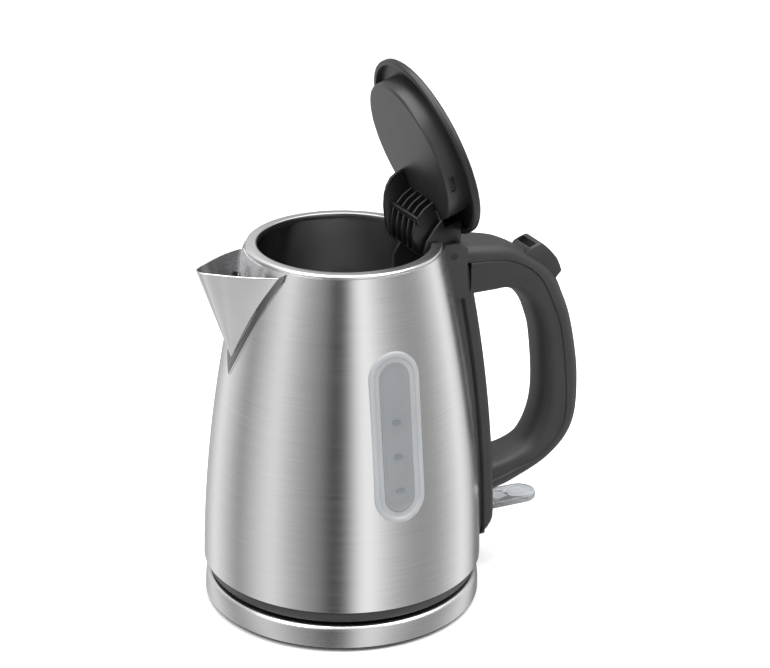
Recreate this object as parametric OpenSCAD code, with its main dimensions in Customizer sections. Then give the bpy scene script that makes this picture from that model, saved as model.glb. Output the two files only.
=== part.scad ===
// Cordless electric kettle: a steel jug with a hinged lid and a handle, on a round power base.
// Origin: centre of the plane that the feet stand on. +Z up, +X to the handle, -X to the spout.
// The lid is drawn open; its own modules draw it closed and lid_place() swings it up.

/* [Jug] */
// Radius of the steel body at its lower edge
body_r = 75.5; // [66:0.5:92]
// Outside radius of the mouth
mouth_r = 51.2; // [47:0.1:62]
// Height of the steel body, lower edge to rim
body_h = 177.9; // [148:0.1:216]
// Thickness of the steel wall
wall = 0.8; // [0.6:0.1:1.2]
// Share of the taper that is straight; the rest is a parabola
taper_line = 0.12; // [0:0.02:0.4]
// Width of the flat rim ring
rim_w = 5.8; // [4.8:0.1:7]
// Depth of the rim ring's turned edge
rim_t = 2; // [1.6:0.1:2.6]
// Height of the jug floor above the body's lower edge
floor_h = 20; // [17:0.5:26]
// Height of the black skirt under the steel
skirt_h = 8.3; // [7:0.1:11]

/* [Base] */
// Radius of the steel band
base_r = 75; // [70:0.5:92]
// Height of the steel band
band_h = 11.9; // [11:0.1:15]
// Height of the black edge under the band
edge_h = 1.3; // [1:0.1:2]
// How far the feet stand proud
foot_proud = 1.5; // [1:0.1:2.5]
// Radius of a foot
foot_r = 6.4; // [5:0.1:8]
// Radius of the connector boss
boss_r = 18; // [15:0.5:20]
// Height of the boss above the base's top face
boss_h = 12.8; // [10:0.1:14]
// Bore of the grommet for the mains lead
cord_bore_r = 3.3; // [2.8:0.1:3.5]

/* [Lid] */
// Radius of the lid's cover
lid_r = 50.1; // [46:0.1:60]
// Radius of the plug that enters the mouth
plug_r = 39.4; // [34:0.1:42]
// Depth of the plug under the cover
plug_h = 9.6; // [7:0.1:12]
// How far the lid is swung open
lid_open = 70; // [60:1:80]
// Hinge axis behind the mouth's outer edge
hinge_back = 3.2; // [2.6:0.1:4]
// Hinge axis below the rim
hinge_drop = 9.6; // [9:0.1:11]
// Radius of the hinge pin
pin_r = 2; // [1.5:0.1:2.4]
// Half of the hinge's width
hinge_half = 20.5; // [19:0.1:22]

/* [Spout] */
// How far the lip reaches beyond the mouth's edge
spout_reach = 30.8; // [22:0.1:38]
// Radius of the lip's nose
nose_r = 6; // [4:0.1:8]
// Height of the folded spout
spout_h = 51; // [40:0.5:62]
// Width of the flange on the body
flange_w = 5.6; // [4:0.1:7]
// Radius of a pouring hole
strain_r = 1.6; // [1.2:0.1:1.8]

/* [Water gauge] */
// Width of the window
gauge_w = 28; // [22:0.5:32]
// Height of the window
gauge_l = 90; // [72:1:108]
// Height of the window's centre above the body's lower edge
gauge_mid = 93.8; // [84:0.1:100]

/* [Handle] */
// Reach of the grip beyond the body's lower radius
grip_reach = 65.8; // [56:0.1:79]
// Height between the handle's two limbs, on a body of the usual height
finger_gap = 98; // [82:1:112]
// Half of the grip's width
grip_half = 13; // [11:0.5:15]
// Depth of the back channel from the steel
channel_t = 11; // [10:0.5:13]
// Half of the channel's width
channel_half = 16; // [15:0.5:18]
// Travel of the release button
button_travel = 3.5; // [2.5:0.1:4]
// Length of the clear paddle outside the channel
paddle_l = 33; // [26:0.5:38]

/* [Hidden] */
$fn = 96;
eps = 0.05;         // face-to-face clearance between pieces
run = 0.05;         // radial running clearance
screw_r = 1.25;
head_r = 2.7;

// Heights from the feet up
edge_z = foot_proud;
band_z = edge_z + edge_h;
base_z = band_z + band_h - 0.5;       // top face of the base
plate_t = 2.3;
jug_z = base_z + 1.2;                 // underside of the jug
shell_z = jug_z + skirt_h;            // lower edge of the steel
rim_z = shell_z + body_h;
floor_z = shell_z + floor_h;
boss_z = base_z + boss_h;
gauge_z = shell_z + gauge_mid;
shell_top = rim_z - rim_t;
STEPS = 18;                           // bands of the tapered body

function body_x(z) = let (t = (z - shell_z) / body_h)
    body_r - (body_r - mouth_r) * (taper_line * t + (1 - taper_line) * t * t);
function body_level(i, top) = shell_z + (top - shell_z) * i / STEPS;

// A solid or a skin that follows the body's taper, moved out by off
module body_solid(off, top = rim_z, bottom = 0) {
    rotate_extrude()
        polygon(concat([[0, shell_z - bottom], [body_r + off, shell_z - bottom]],
            [for (i = [0:STEPS]) [body_x(body_level(i, shell_top)) + off, body_level(i, shell_top)]],
            [[body_x(top) + off, top], [0, top]]));
}
module body_skin(inner, outer, low, high) {
    intersection() {
        difference() {
            body_solid(outer);
            body_core(inner);
        }
        translate([-120, -120, low]) cube([240, 240, high - low]);
    }
}
module body_core(off) {
    rotate_extrude()
        polygon(concat([[0, shell_z], [body_r + off, shell_z]],
            [for (i = [0:STEPS]) [body_x(body_level(i, shell_top)) + off, body_level(i, shell_top)]],
            [[body_x(rim_z) + off, rim_z + 3], [0, rim_z + 3]]));
}
// An outline in the XZ plane, given as [x, z] points, made a plate about Y = 0
module side_plate(points, half) {
    rotate([90, 0, 0]) translate([0, 0, -half]) linear_extrude(2 * half) polygon(points);
}
module disc(r, low, high) { translate([0, 0, low]) cylinder(r = r, h = high - low); }
module tube(r_out, r_in, low, high) {
    difference() {
        disc(r_out, low, high);
        disc(r_in, low - 1, high + 1);
    }
}
module ring_of(count, radius, turn = 0) {
    for (i = [0:count - 1]) rotate([0, 0, turn + 360 * i / count]) translate([radius, 0, 0]) children();
}
module rod_x(r, x0, x1, y, z) {
    translate([x0, y, z]) rotate([0, 90, 0]) cylinder(r = r, h = x1 - x0);
}
module rod_y(r, half, x, z) {
    translate([x, half, z]) rotate([90, 0, 0]) cylinder(r = r, h = 2 * half);
}
// A coil spring along +Z from 0 to length, as one closed swept tube
module coil(r, wire, length, turns) {
    ring = 8;
    steps = turns * 14;
    pts = [for (i = [0:steps], k = [0:ring - 1])
        let (a = 360 * turns * i / steps, b = 360 * k / ring,
             rr = r + wire * cos(b), z = wire + (length - 2 * wire) * i / steps + wire * sin(b))
        [rr * cos(a), rr * sin(a), z]];
    sides = [for (i = [0:steps - 1], k = [0:ring - 1])
        let (p = i * ring + k, q = i * ring + (k + 1) % ring) [p, p + ring, q + ring, q]];
    polyhedron(pts, concat([[for (k = [0:ring - 1]) k]], sides,
        [[for (k = [ring - 1:-1:0]) steps * ring + k]]));
}

// ---- power base ----
foot_ring = base_r - 9;
foot_turn = 20;
post_ring = base_r - 25;
post_turn = 60;
gland_z = band_z + 5.9;
gland_r = cord_bore_r + 1.3;
wall_out = base_r - 2.1;              // plastic wall behind the steel band
collar_r = boss_r + 7;                // outside of the swivel ring
flange_r = collar_r + 8;

module base_bottom() {
    color([0.06, 0.06, 0.065]) difference() {
        union() {
            disc(base_r - 0.4, edge_z, band_z);
            disc(wall_out - 0.4, band_z - 0.1, band_z + 1.1);
        }
        ring_of(4, foot_ring, foot_turn) disc(foot_r + eps, edge_z - 1, edge_z + 1.1);
        disc(foot_r + eps, edge_z - 1, edge_z + 1.1);
        ring_of(3, post_ring, post_turn) {
            disc(screw_r + 0.2, edge_z - 1, band_z + 2);
            disc(head_r + 0.3, edge_z - 1, edge_z + 1.2);
        }
    }
}
// Four pads near the edge, and one at the middle under the jug's weight
module base_feet() {
    color([0.1, 0.1, 0.1]) {
        ring_of(4, foot_ring, foot_turn) disc(foot_r, 0, edge_z + 1.1);
        disc(foot_r, 0, edge_z + 1.1);
    }
}
module base_screws() {
    color([0.7, 0.7, 0.72]) ring_of(3, post_ring, post_turn) {
        disc(head_r, edge_z + 0.2, edge_z + 1.2);
        disc(screw_r, edge_z + 1.1, band_z + 7);
    }
}
module base_ring() {
    top = band_z + band_h;
    color([0.72, 0.72, 0.73]) difference() {
        rotate_extrude() polygon([[base_r, band_z], [base_r - 0.1, band_z + 5], [base_r - 0.5, top - 2.7],
            [base_r - 1.2, top - 0.9], [base_r - 2.4, top], [base_r - 3.3, top], [base_r - 3.3, top - 0.45],
            [base_r - 2.6, top - 0.8], [base_r - 1.9, top - 1.6], [base_r - 1.3, top - 3],
            [base_r - 0.9, band_z + 5], [base_r - 0.8, band_z]]);
        rod_x(gland_r + run, base_r - 20, base_r + 10, 0, gland_z);
    }
}
module base_top() {
    color([0.09, 0.09, 0.095]) difference() {
        union() {
            disc(base_r - 3.6, base_z - plate_t, base_z);
            tube(wall_out, wall_out - 2.2, band_z + 1.1, base_z - plate_t + 0.01);
            ring_of(3, post_ring, post_turn) disc(3.2, band_z + 1.1, base_z - plate_t + 0.1);
        }
        disc(collar_r + 0.4, 0, boss_z);
        ring_of(3, post_ring, post_turn) disc(screw_r + run, 0, band_z + 8);
        rod_x(gland_r + run, base_r - 20, base_r + 10, 0, gland_z);
    }
}
module base_connector() {
    slot_z = boss_z - 9;
    color([0.16, 0.16, 0.17]) difference() {
        union() {
            disc(boss_r, base_z - plate_t - 2.5, boss_z);
            disc(flange_r, base_z - plate_t - 2.5, base_z - plate_t);
        }
        disc(3.8, slot_z - 1, boss_z + 1);
        tube(9.8, 7.4, slot_z, boss_z + 1);
        tube(14.2, 11.8, slot_z, boss_z + 1);
    }
}
// Three leaf contacts: one at the middle and one in each slot, against the slot's outer wall
module base_contacts() {
    slot_z = boss_z - 9;
    color([0.8, 0.62, 0.3]) {
        disc(1.6, slot_z - 1, slot_z + 0.7);
        rotate([0, 0, 40]) translate([9.25, -1.5, slot_z]) cube([0.3, 3, 6]);
        rotate([0, 0, 200]) translate([13.65, -1.5, slot_z]) cube([0.3, 3, 6]);
    }
}
module cord_gland() {
    color([0.07, 0.07, 0.07]) difference() {
        union() {
            rod_x(gland_r, base_r - 9, base_r + 0.1, 0, gland_z);
            rod_x(gland_r + 0.9, base_r + 0.05, base_r + 1.7, 0, gland_z);
        }
        rod_x(cord_bore_r, base_r - 12, base_r + 4, 0, gland_z);
    }
}
module swivel_ring() {
    color([0.8, 0.8, 0.78]) tube(collar_r, boss_r + run, base_z - plate_t + 0.1, jug_z - 0.1);
}

// ---- jug: floor, heater and control ----
control_r = 30.5;
socket_r = boss_r + 0.6;
skirt_in = control_r + 0.4;
element_r = 42;
element_wire = 3.4;
spreader_t = 2.8;
spreader_z = floor_z - 0.85 - spreader_t;
skirt_post = 60;

module bottom_skirt() {
    spigot = body_x(shell_z) - wall - 0.9;
    color([0.07, 0.07, 0.075]) difference() {
        rotate_extrude() polygon([[skirt_in, jug_z], [body_r - 5.2, jug_z], [body_r - 3, jug_z + 1.6],
            [body_r - 0.9, shell_z - 1.3], [body_r - 0.9, shell_z - eps], [spigot, shell_z - eps],
            [spigot, shell_z + 7], [spigot - 2, shell_z + 7], [spigot - 2, shell_z - 2],
            [body_r - 5.4, jug_z + 2.4], [skirt_in, jug_z + 2.4]]);
        ring_of(3, skirt_post) {
            disc(screw_r + 0.2, jug_z - 1, jug_z + 4);
            disc(head_r + 0.3, jug_z - 1, jug_z + 1.2);
        }
    }
}
module skirt_screws() {
    color([0.7, 0.7, 0.72]) ring_of(3, skirt_post) {
        disc(head_r, jug_z + 0.2, jug_z + 1.2);
        disc(screw_r, jug_z + 1.1, floor_z - 2.5);
    }
}
module heater_plate() {
    r = body_x(floor_z) - wall - 0.4;
    color([0.62, 0.62, 0.63]) {
        difference() {
            disc(r, floor_z - 0.8, floor_z + 4);
            disc(r - 0.8, floor_z, floor_z + 5);
        }
        ring_of(3, skirt_post) disc(3, floor_z - 2.4, floor_z - 0.7);
    }
}
module heat_spreader() {
    color([0.75, 0.76, 0.78]) disc(50, spreader_z, floor_z - 0.85);
}
module heating_element() {
    mid = spreader_z - element_wire + 0.4;
    color([0.35, 0.35, 0.36]) {
        translate([0, 0, mid]) rotate([0, 0, 30]) rotate_extrude(angle = 300)
            translate([element_r, 0]) circle(element_wire);
        for (a = [33, 327]) rotate([0, 0, a]) translate([element_r, 0, 0]) disc(1.9, shell_z + 1, mid);
    }
}
module thermal_control() {
    color([0.85, 0.84, 0.8]) difference() {
        union() {
            disc(control_r, jug_z, spreader_z - 2);
            ring_of(3, 24, 90) disc(2.6, spreader_z - 3, spreader_z);
        }
        disc(socket_r, jug_z - 1, boss_z + 1.6);
        disc(3, jug_z, spreader_z - 4);
        tube(13.4, 12.6, boss_z, boss_z + 4);
        tube(9, 8.2, boss_z, boss_z + 4);
    }
}
module jug_contacts() {
    color([0.82, 0.65, 0.32]) {
        disc(2.95, jug_z + 4, spreader_z - 4.1);
        tube(13.35, 12.65, boss_z - 6, boss_z + 3.9);
        tube(8.95, 8.25, boss_z - 6, boss_z + 3.9);
    }
}
module bimetal_discs() {
    color([0.78, 0.7, 0.5]) for (s = [-1, 1]) translate([0, s * 12, 0]) {
        disc(8.5, spreader_z - 0.9, spreader_z - 0.4);
        disc(1.2, spreader_z - 2, spreader_z - 0.85);
    }
}

// ---- jug: steel body, rim, spout and gauge ----
notch_z = rim_z - 33.8;
notch_half = hinge_half + 0.2;
spout_z = rim_z - 3.4;                // lip at the nose
lip_drop = 3;                         // the lip falls this much towards the body
spout_foot = spout_z - spout_h;
lip_x = mouth_r + spout_reach;        // nose of the lip
foot_x = body_x(spout_foot);
lip_half = 24.5;
hole_gap = 5.5;                       // spacing of the pouring holes
lip_back = 46;

module notch() {
    translate([20, -notch_half, notch_z]) cube([100, 2 * notch_half, 60]);
}
module gauge_slot(w, l, deep = 40) {
    translate([0, -body_r - 12, 0]) rotate([-90, 0, 0]) linear_extrude(deep) {
        for (s = [-1, 1]) translate([0, -gauge_z + s * (l - w) / 2]) circle(d = w);
        translate([-w / 2, -gauge_z - (l - w) / 2]) square([w, l - w]);
    }
}
module jug_shell() {
    color([0.74, 0.74, 0.75]) difference() {
        rotate_extrude() polygon(concat(
            [for (i = [0:STEPS]) [body_x(body_level(i, shell_top)), body_level(i, shell_top)]],
            [for (i = [STEPS:-1:0]) [body_x(body_level(i, shell_top)) - wall, body_level(i, shell_top)]]));
        notch();
        gauge_slot(gauge_w - 2.6, gauge_l - 2.6, body_r - mouth_r + 11.7);
        for (row = [0:5], col = [-3:3])
            if (abs(col) <= (row + 1) / 2 + 0.1)
                translate([-lip_x, col * hole_gap, spout_foot + 11 + row * hole_gap])
                    rotate([0, 90, 0]) cylinder(r = strain_r, h = lip_x - 30);
    }
}
module rim_ring() {
    in_r = mouth_r - rim_w;
    color([0.8, 0.8, 0.8]) difference() {
        rotate_extrude() polygon([[in_r, rim_z - 3.2], [in_r, rim_z - 0.5], [in_r + 0.5, rim_z],
            [mouth_r - 1.2, rim_z], [mouth_r - 0.3, rim_z - 0.5], [mouth_r, rim_z - 1.3],
            [mouth_r, rim_z - rim_t + eps], [mouth_r - 0.9, rim_z - rim_t + eps],
            [mouth_r - 1.1, rim_z - 1.2], [in_r + 0.8, rim_z - 1.2], [in_r + 0.8, rim_z - 3.2]]);
        notch();
    }
}
// The folded spout seen from above at its lip; the back lies inside the body
module lip_plan(t) {
    hull() {
        translate([-(lip_x - nose_r), 0]) circle(nose_r - t, $fn = 32);
        for (s = [-1, 1]) translate([-lip_back, s * (lip_half - t)]) circle(0.05, $fn = 8);
    }
}
module spout_form(t, low, high) {
    hull() {
        translate([0, 0, high]) linear_extrude(0.1) lip_plan(t);
        translate([-foot_x + t, 0, low]) cylinder(r = 0.3, h = 0.1, $fn = 16);
        translate([-foot_x + 20, 0, low]) cylinder(r = 0.3, h = 0.1, $fn = 16);
    }
}
module spout() {
    outer_v = [[-(lip_half + flange_w), spout_z + 1], [0, spout_foot - 8], [lip_half + flange_w, spout_z + 1],
        [lip_half, spout_z + 1], [0, spout_foot + 2], [-lip_half, spout_z + 1]];
    color([0.7, 0.7, 0.71]) {
        difference() {
            spout_form(0, spout_foot, spout_z);
            spout_form(0.9, spout_foot + 1.5, spout_z + 0.1);
            body_solid(eps, rim_z + 5);
            translate([-lip_x, 0, spout_z]) rotate([0, atan(lip_drop / (lip_x - mouth_r)), 0])
                translate([-1, -60, 0]) cube([90, 120, 20]);
        }
        intersection() {
            body_skin(0.05, 0.8, spout_foot - 10, rim_z - 3);
            rotate([90, 0, -90]) translate([0, 0, 30]) linear_extrude(60) polygon(outer_v);
        }
    }
}
module gauge_window() {
    color([0.72, 0.78, 0.82, 0.45]) {
        intersection() {
            body_skin(-wall - 1.6, 0.5, shell_z, rim_z - 3);
            gauge_slot(gauge_w - 2.8, gauge_l - 2.8);
        }
        intersection() {
            body_skin(0.05, 1.4, shell_z, rim_z - 3);
            difference() {
                gauge_slot(gauge_w, gauge_l);
                gauge_slot(gauge_w - 5, gauge_l - 5);
            }
        }
    }
}
module gauge_gasket() {
    color([0.85, 0.85, 0.85]) intersection() {
        body_skin(-wall - 1.5, -wall - 0.1, shell_z, rim_z - 3);
        difference() {
            gauge_slot(gauge_w + 2, gauge_l + 2);
            gauge_slot(gauge_w - 2.7, gauge_l - 2.7);
        }
    }
}
module gauge_chamber() {
    color([0.8, 0.84, 0.86, 0.6]) {
        difference() {
            intersection() {
                body_skin(-wall - 9, -wall - 1.7, shell_z, rim_z - 3);
                gauge_slot(gauge_w + 2, gauge_l + 2);
            }
            intersection() {
                body_skin(-wall - 7.6, 5, shell_z, rim_z - 3);
                gauge_slot(gauge_w - 6, gauge_l - 6);
            }
            for (s = [-1, 1]) translate([-3, -body_r, gauge_z + s * (gauge_l / 2 - 12) - 3]) cube([6, 40, 6]);
        }
    }
}

// ---- handle, drawn from smooth curves through a few points [out from body_r, down from rim] ----
function spline(p, n) = [for (i = [0:len(p) - 2], k = [0:n - 1])
    let (t = k / n, a = p[max(i - 1, 0)], b = p[i], c = p[i + 1], d = p[min(i + 2, len(p) - 1)])
    0.5 * (2 * b + (c - a) * t + (2 * a - 5 * b + 4 * c - d) * t * t + (3 * b - 3 * c + d - a) * t * t * t)];
function handle_at(p) = [for (q = p) [body_r + q[0], rim_z - q[1]]];
USUAL_H = 177.9;                      // body height the finger gap is named for
gap = finger_gap + body_h - USUAL_H;
low = 35.2 + gap;                     // top face of the lower limb, below the rim
mid = 35.2 + gap / 2;
below = 0.163 * gap;
reach = grip_reach;
OUTER = spline(handle_at([[-28, 5], [4.5, 9.4], [22, 14], [44.6, 29.1], [reach - 11.6, 46],
    [reach - 4.9, 65.6], [reach, mid + 11], [reach - 1.4, low - 9.2], [reach - 15, low + 8.2],
    [25.5, low + 19.8], [2, low + 23.8]]), 6);
SPLIT = spline(handle_at([[-28, 14.4], [4.5, 17.6], [20.2, 21.4], [35.5, 32.2], [reach - 19.6, 53],
    [reach - 14.9, 68.8], [reach - 10.8, mid + below], [reach - 12.1, low - 9.7], [reach - 25, low + 5.6],
    [24, low + 11.8], [2, low + 16.2]]), 6);
INNER = spline(handle_at([[-28, 35.6], [4.5, 36], [19, 37.8], [30.5, 47.2], [36.9, 61.6],
    [reach - 26.1, 74.4], [reach - 24, mid + below], [reach - 25.9, low - 16.8], [33.5, low - 3.6],
    [22.5, low + 2.4], [2, low + 5.2]]), 6);
function blend(a, b, k) = [for (i = [0:min(len(a), len(b)) - 1]) a[i] + (b[i] - a[i]) * k];
function flip(a) = [for (i = [len(a) - 1:-1:0]) a[i]];

channel_top = rim_z - 18.1;
channel_foot = shell_z + 0.2;
CHANNEL_N = 12;
function channel_line(off, z0, z1) =
    [for (i = [0:CHANNEL_N]) let (z = z0 + (z1 - z0) * i / CHANNEL_N) [body_x(z) + off, z]];

hinge_x = mouth_r + hinge_back;
hinge_z = rim_z - hinge_drop;
wall_x = hinge_x + 5.8;               // front of the bracket's back wall
bracket_x = hinge_x + 8;              // back of the bracket
latch_z = rim_z - 27.6;
top_screw_y = 7.5;
top_screw_z = notch_z + 6.2;
low_screw_z = shell_z + 32.3;
lever_x = body_x(shell_z + 10.8) + 5.2;
lever_z = shell_z + 10.8;

module channel_block(off = 0, half = 60) {
    side_plate(concat([[0, channel_foot - 30], [body_x(channel_foot) + channel_t + off, channel_foot - 30]],
        channel_line(channel_t + off, channel_foot, channel_top),
        [[0, channel_top]]), half);
}
module bracket_block(off = 0) {
    translate([-20, -hinge_half - off, notch_z - off])
        cube([bracket_x + 20 + off, 2 * (hinge_half + off), 60]);
}
module plan_taper() {
    translate([0, 0, -10]) linear_extrude(rim_z + 40)
        polygon([[20, -19.5], [60, -18], [body_r + 6, -grip_half - 2], [body_r + 26, -grip_half],
            [body_r + 110, -grip_half], [body_r + 110, grip_half], [body_r + 26, grip_half],
            [body_r + 6, grip_half + 2], [60, 18], [20, 19.5]]);
}
module back_channel() {
    color([0.16, 0.16, 0.165]) difference() {
        side_plate(concat([[body_r - 40, channel_foot]],
            [[body_x(channel_foot) + channel_t - 3.5, channel_foot]],
            channel_line(channel_t, channel_foot + 4, channel_top),
            [[body_r - 40, channel_top]]), channel_half);
        side_plate(concat([[body_r - 50, channel_foot + 2.4]],
            channel_line(channel_t - 2.2, channel_foot + 2.4, channel_top - 2.4),
            [[body_r - 50, channel_top - 2.4]]), channel_half - 2.2);
        body_solid(0.1, rim_z + 2, 12);
        bracket_block(0.1);
        translate([lever_x, -10.5, lever_z - 6]) cube([30, 21, 10.5]);
        rod_x(screw_r + 0.2, body_r - 10, body_r + 30, 0, low_screw_z);
        rod_x(3, bracket_x, body_r + 30, 0, latch_z);
        for (s = [-1, 1]) rod_x(screw_r + 0.2, bracket_x - 10, body_r + 30, s * top_screw_y, top_screw_z);
        rod_x(head_r + 0.2, body_x(low_screw_z) + channel_t + 0.55, body_r + 30, 0, low_screw_z);
        for (s = [-1, 1])
            rod_x(head_r + 0.2, body_x(top_screw_z) + channel_t + 0.55, body_r + 30, s * top_screw_y, top_screw_z);
    }
}
module handle_grip() {
    color([0.27, 0.27, 0.28]) difference() {
        intersection() {
            union() {
                difference() {
                    side_plate(concat(INNER, flip(SPLIT)), 30);
                    side_plate(concat(blend(INNER, SPLIT, 0.22), flip(blend(INNER, SPLIT, 1.2))),
                        grip_half - 2.4);
                }
                translate([body_r + 3, -grip_half + 1, latch_z - 6]) cube([2, 2 * grip_half - 2, 12]);
                button_frame() disc(3.4, seat_z - 11.3, seat_z - 0.1);
                button_frame() disc(1.7, seat_z - 0.3, seat_z + 1.8);
            }
            plan_taper();
        }
        channel_block(0.07);
        bracket_block(0.1);
        rod_x(2 + run, body_r - 10, body_r + 12, 0, latch_z);
    }
}
module handle_cover() {
    color([0.25, 0.25, 0.26]) difference() {
        intersection() {
            difference() {
                side_plate(concat(blend(SPLIT, OUTER, 0.02), flip(OUTER)), 30);
                side_plate(concat(blend(SPLIT, OUTER, -0.3), flip(blend(SPLIT, OUTER, 0.7))),
                    grip_half - 2.4);
            }
            plan_taper();
        }
        channel_block(0.07);
        bracket_block(0.3);
        button_frame() translate([-15.4, -9.4, -button_foot - button_travel - 1.5]) cube([26.6, 18.8, 32]);
        translate([body_r + finger_x - 3, -2.8, latch_z - 4]) cube([8, 5.6, 16]);
    }
}
module mount_bracket() {
    z = low_screw_z;
    color([0.6, 0.6, 0.62]) difference() {
        translate([body_r - 6, -8, z - 6]) cube([8.2, 16, 12]);
        body_solid(eps, rim_z + 2, 12);
        rod_x(screw_r + run, body_r - 10, body_r + 30, 0, z);
    }
}
module handle_screws() {
    face = body_x(low_screw_z) + channel_t;
    top_face = body_x(top_screw_z) + channel_t;
    color([0.7, 0.7, 0.72]) {
        rod_x(screw_r, body_r + 0.3, face + 1, 0, low_screw_z);
        rod_x(head_r, face + 0.6, face + 1.8, 0, low_screw_z);
        for (s = [-1, 1]) {
            rod_x(screw_r, wall_x + 0.5, top_face + 1, s * top_screw_y, top_screw_z);
            rod_x(head_r, top_face + 0.6, top_face + 1.8, s * top_screw_y, top_screw_z);
        }
    }
}
module steam_tube() {
    low_z = shell_z + 42;
    high_z = notch_z - 2;
    x0 = body_x(low_z) + 5.4;
    x1 = body_x(high_z) + 5.7;
    color([0.6, 0.6, 0.62]) translate([x0, 0, low_z]) rotate([0, atan((x1 - x0) / (high_z - low_z)), 0])
        difference() {
            cylinder(r = 2.3, h = high_z - low_z);
            translate([0, 0, -1]) cylinder(r = 1.5, h = high_z);
        }
}
module steam_switch() {
    color([0.88, 0.87, 0.84]) difference() {
        union() {
            translate([lever_x - 4.6, -12.4, lever_z + 6]) cube([7, 24.8, 8]);
            for (s = [-1, 1]) translate([lever_x - 3.4, s * 11.4 - 1, lever_z - 3.4]) cube([5.8, 2, 10]);
        }
        rod_y(1.25, 20, lever_x, lever_z);
        body_solid(0.1, rim_z + 2, 12);
    }
}
module steam_disc() {
    color([0.78, 0.7, 0.5]) translate([lever_x - 0.6, 0, 0]) {
        disc(3, lever_z + 14.4, lever_z + 14.8);
        disc(1, lever_z + 14, lever_z + 14.5);
    }
}
module indicator_lamp() {
    color([0.9, 0.45, 0.2, 0.7]) rod_y(1.5, 5, lever_x + 0.6, lever_z - 6.1);
}
module lever_rocker() {
    color([0.1, 0.1, 0.1]) {
        rod_y(1.2, 12.3, lever_x, lever_z);
        rod_y(2.6, 9.8, lever_x, lever_z);
        translate([lever_x, -8.5, lever_z - 2]) cube([7, 17, 3.6]);
    }
}
module switch_lever() {
    end_r = 9;
    root = lever_x + 7.05;
    tip = body_x(lever_z) + channel_t + paddle_l;
    color([0.85, 0.88, 0.9, 0.4]) difference() {
        translate([0, 0, lever_z - 2.4]) linear_extrude(4) {
            translate([root, -9]) square([tip - end_r - root, 18]);
            translate([tip - end_r, 0]) circle(end_r);
        }
        translate([tip - end_r - 4, 0, lever_z + 1]) linear_extrude(4) {
            translate([-3, -3.6]) square([6, 7.2]);
            for (s = [-1, 1]) translate([s * 3, 0]) circle(3.6);
        }
    }
}
module toggle_spring() {
    color([0.75, 0.75, 0.76]) translate([lever_x - 2.9, -3, lever_z + 1.4]) cube([0.4, 6, 4.5]);
}

// ---- hinge, lid and release ----
module hinge_bracket() {
    x0 = hinge_x - 16.4;
    ear = [[x0, notch_z], [bracket_x, notch_z], [bracket_x, hinge_z + 3.6], [hinge_x + 3, rim_z - 2.8],
        [hinge_x - 4.4, rim_z - 2.8], [hinge_x - 12, hinge_z - 2], [x0, hinge_z - 9]];
    color([0.08, 0.08, 0.085]) difference() {
        union() {
            for (s = [-1, 1]) translate([0, s * (hinge_half - 1.25), 0]) side_plate(ear, 1.25);
            translate([x0, -hinge_half + 1, notch_z]) cube([bracket_x - x0, 2 * hinge_half - 2, 3.2]);
            translate([wall_x, -hinge_half + 1, notch_z]) cube([bracket_x - wall_x, 2 * hinge_half - 2, 22]);
            for (s = [-1, 1]) translate([wall_x - 5, s * top_screw_y - 3, notch_z + 3])
                cube([6, 6, top_screw_z - notch_z]);
        }
        rod_y(pin_r + 0.02, 30, hinge_x, hinge_z);
        rod_x(2.6, 30, bracket_x + 5, 0, latch_z);
        for (s = [-1, 1]) rod_x(screw_r + run, wall_x - 2, bracket_x + 5, s * top_screw_y, top_screw_z);
        for (i = [-2:2]) translate([x0 + 4, i * 6.5 - 1.5, notch_z - 1]) cube([9, 3, 6]);
    }
}
module hinge_pin() {
    color([0.7, 0.7, 0.72]) rod_y(pin_r, hinge_half - 0.2, hinge_x, hinge_z);
}
module lid_spring() {
    color([0.7, 0.7, 0.72]) translate([hinge_x, 15.2, hinge_z]) rotate([90, 0, 0]) coil(3.1, 0.45, 4, 3);
}
module lid_place() {
    translate([hinge_x, 0, hinge_z]) rotate([0, lid_open, 0]) translate([-hinge_x, 0, -hinge_z]) children();
}
lid_z = rim_z + 0.3;                  // lower edge of the closed lid's skirt
face_z = lid_z + 1.1 - plug_h;        // underside of the plug
plug_x = -1.5;
arm_half = hinge_half - 2.9;
rib_y = [for (i = [-2:2]) i * arm_half * 0.375];

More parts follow.
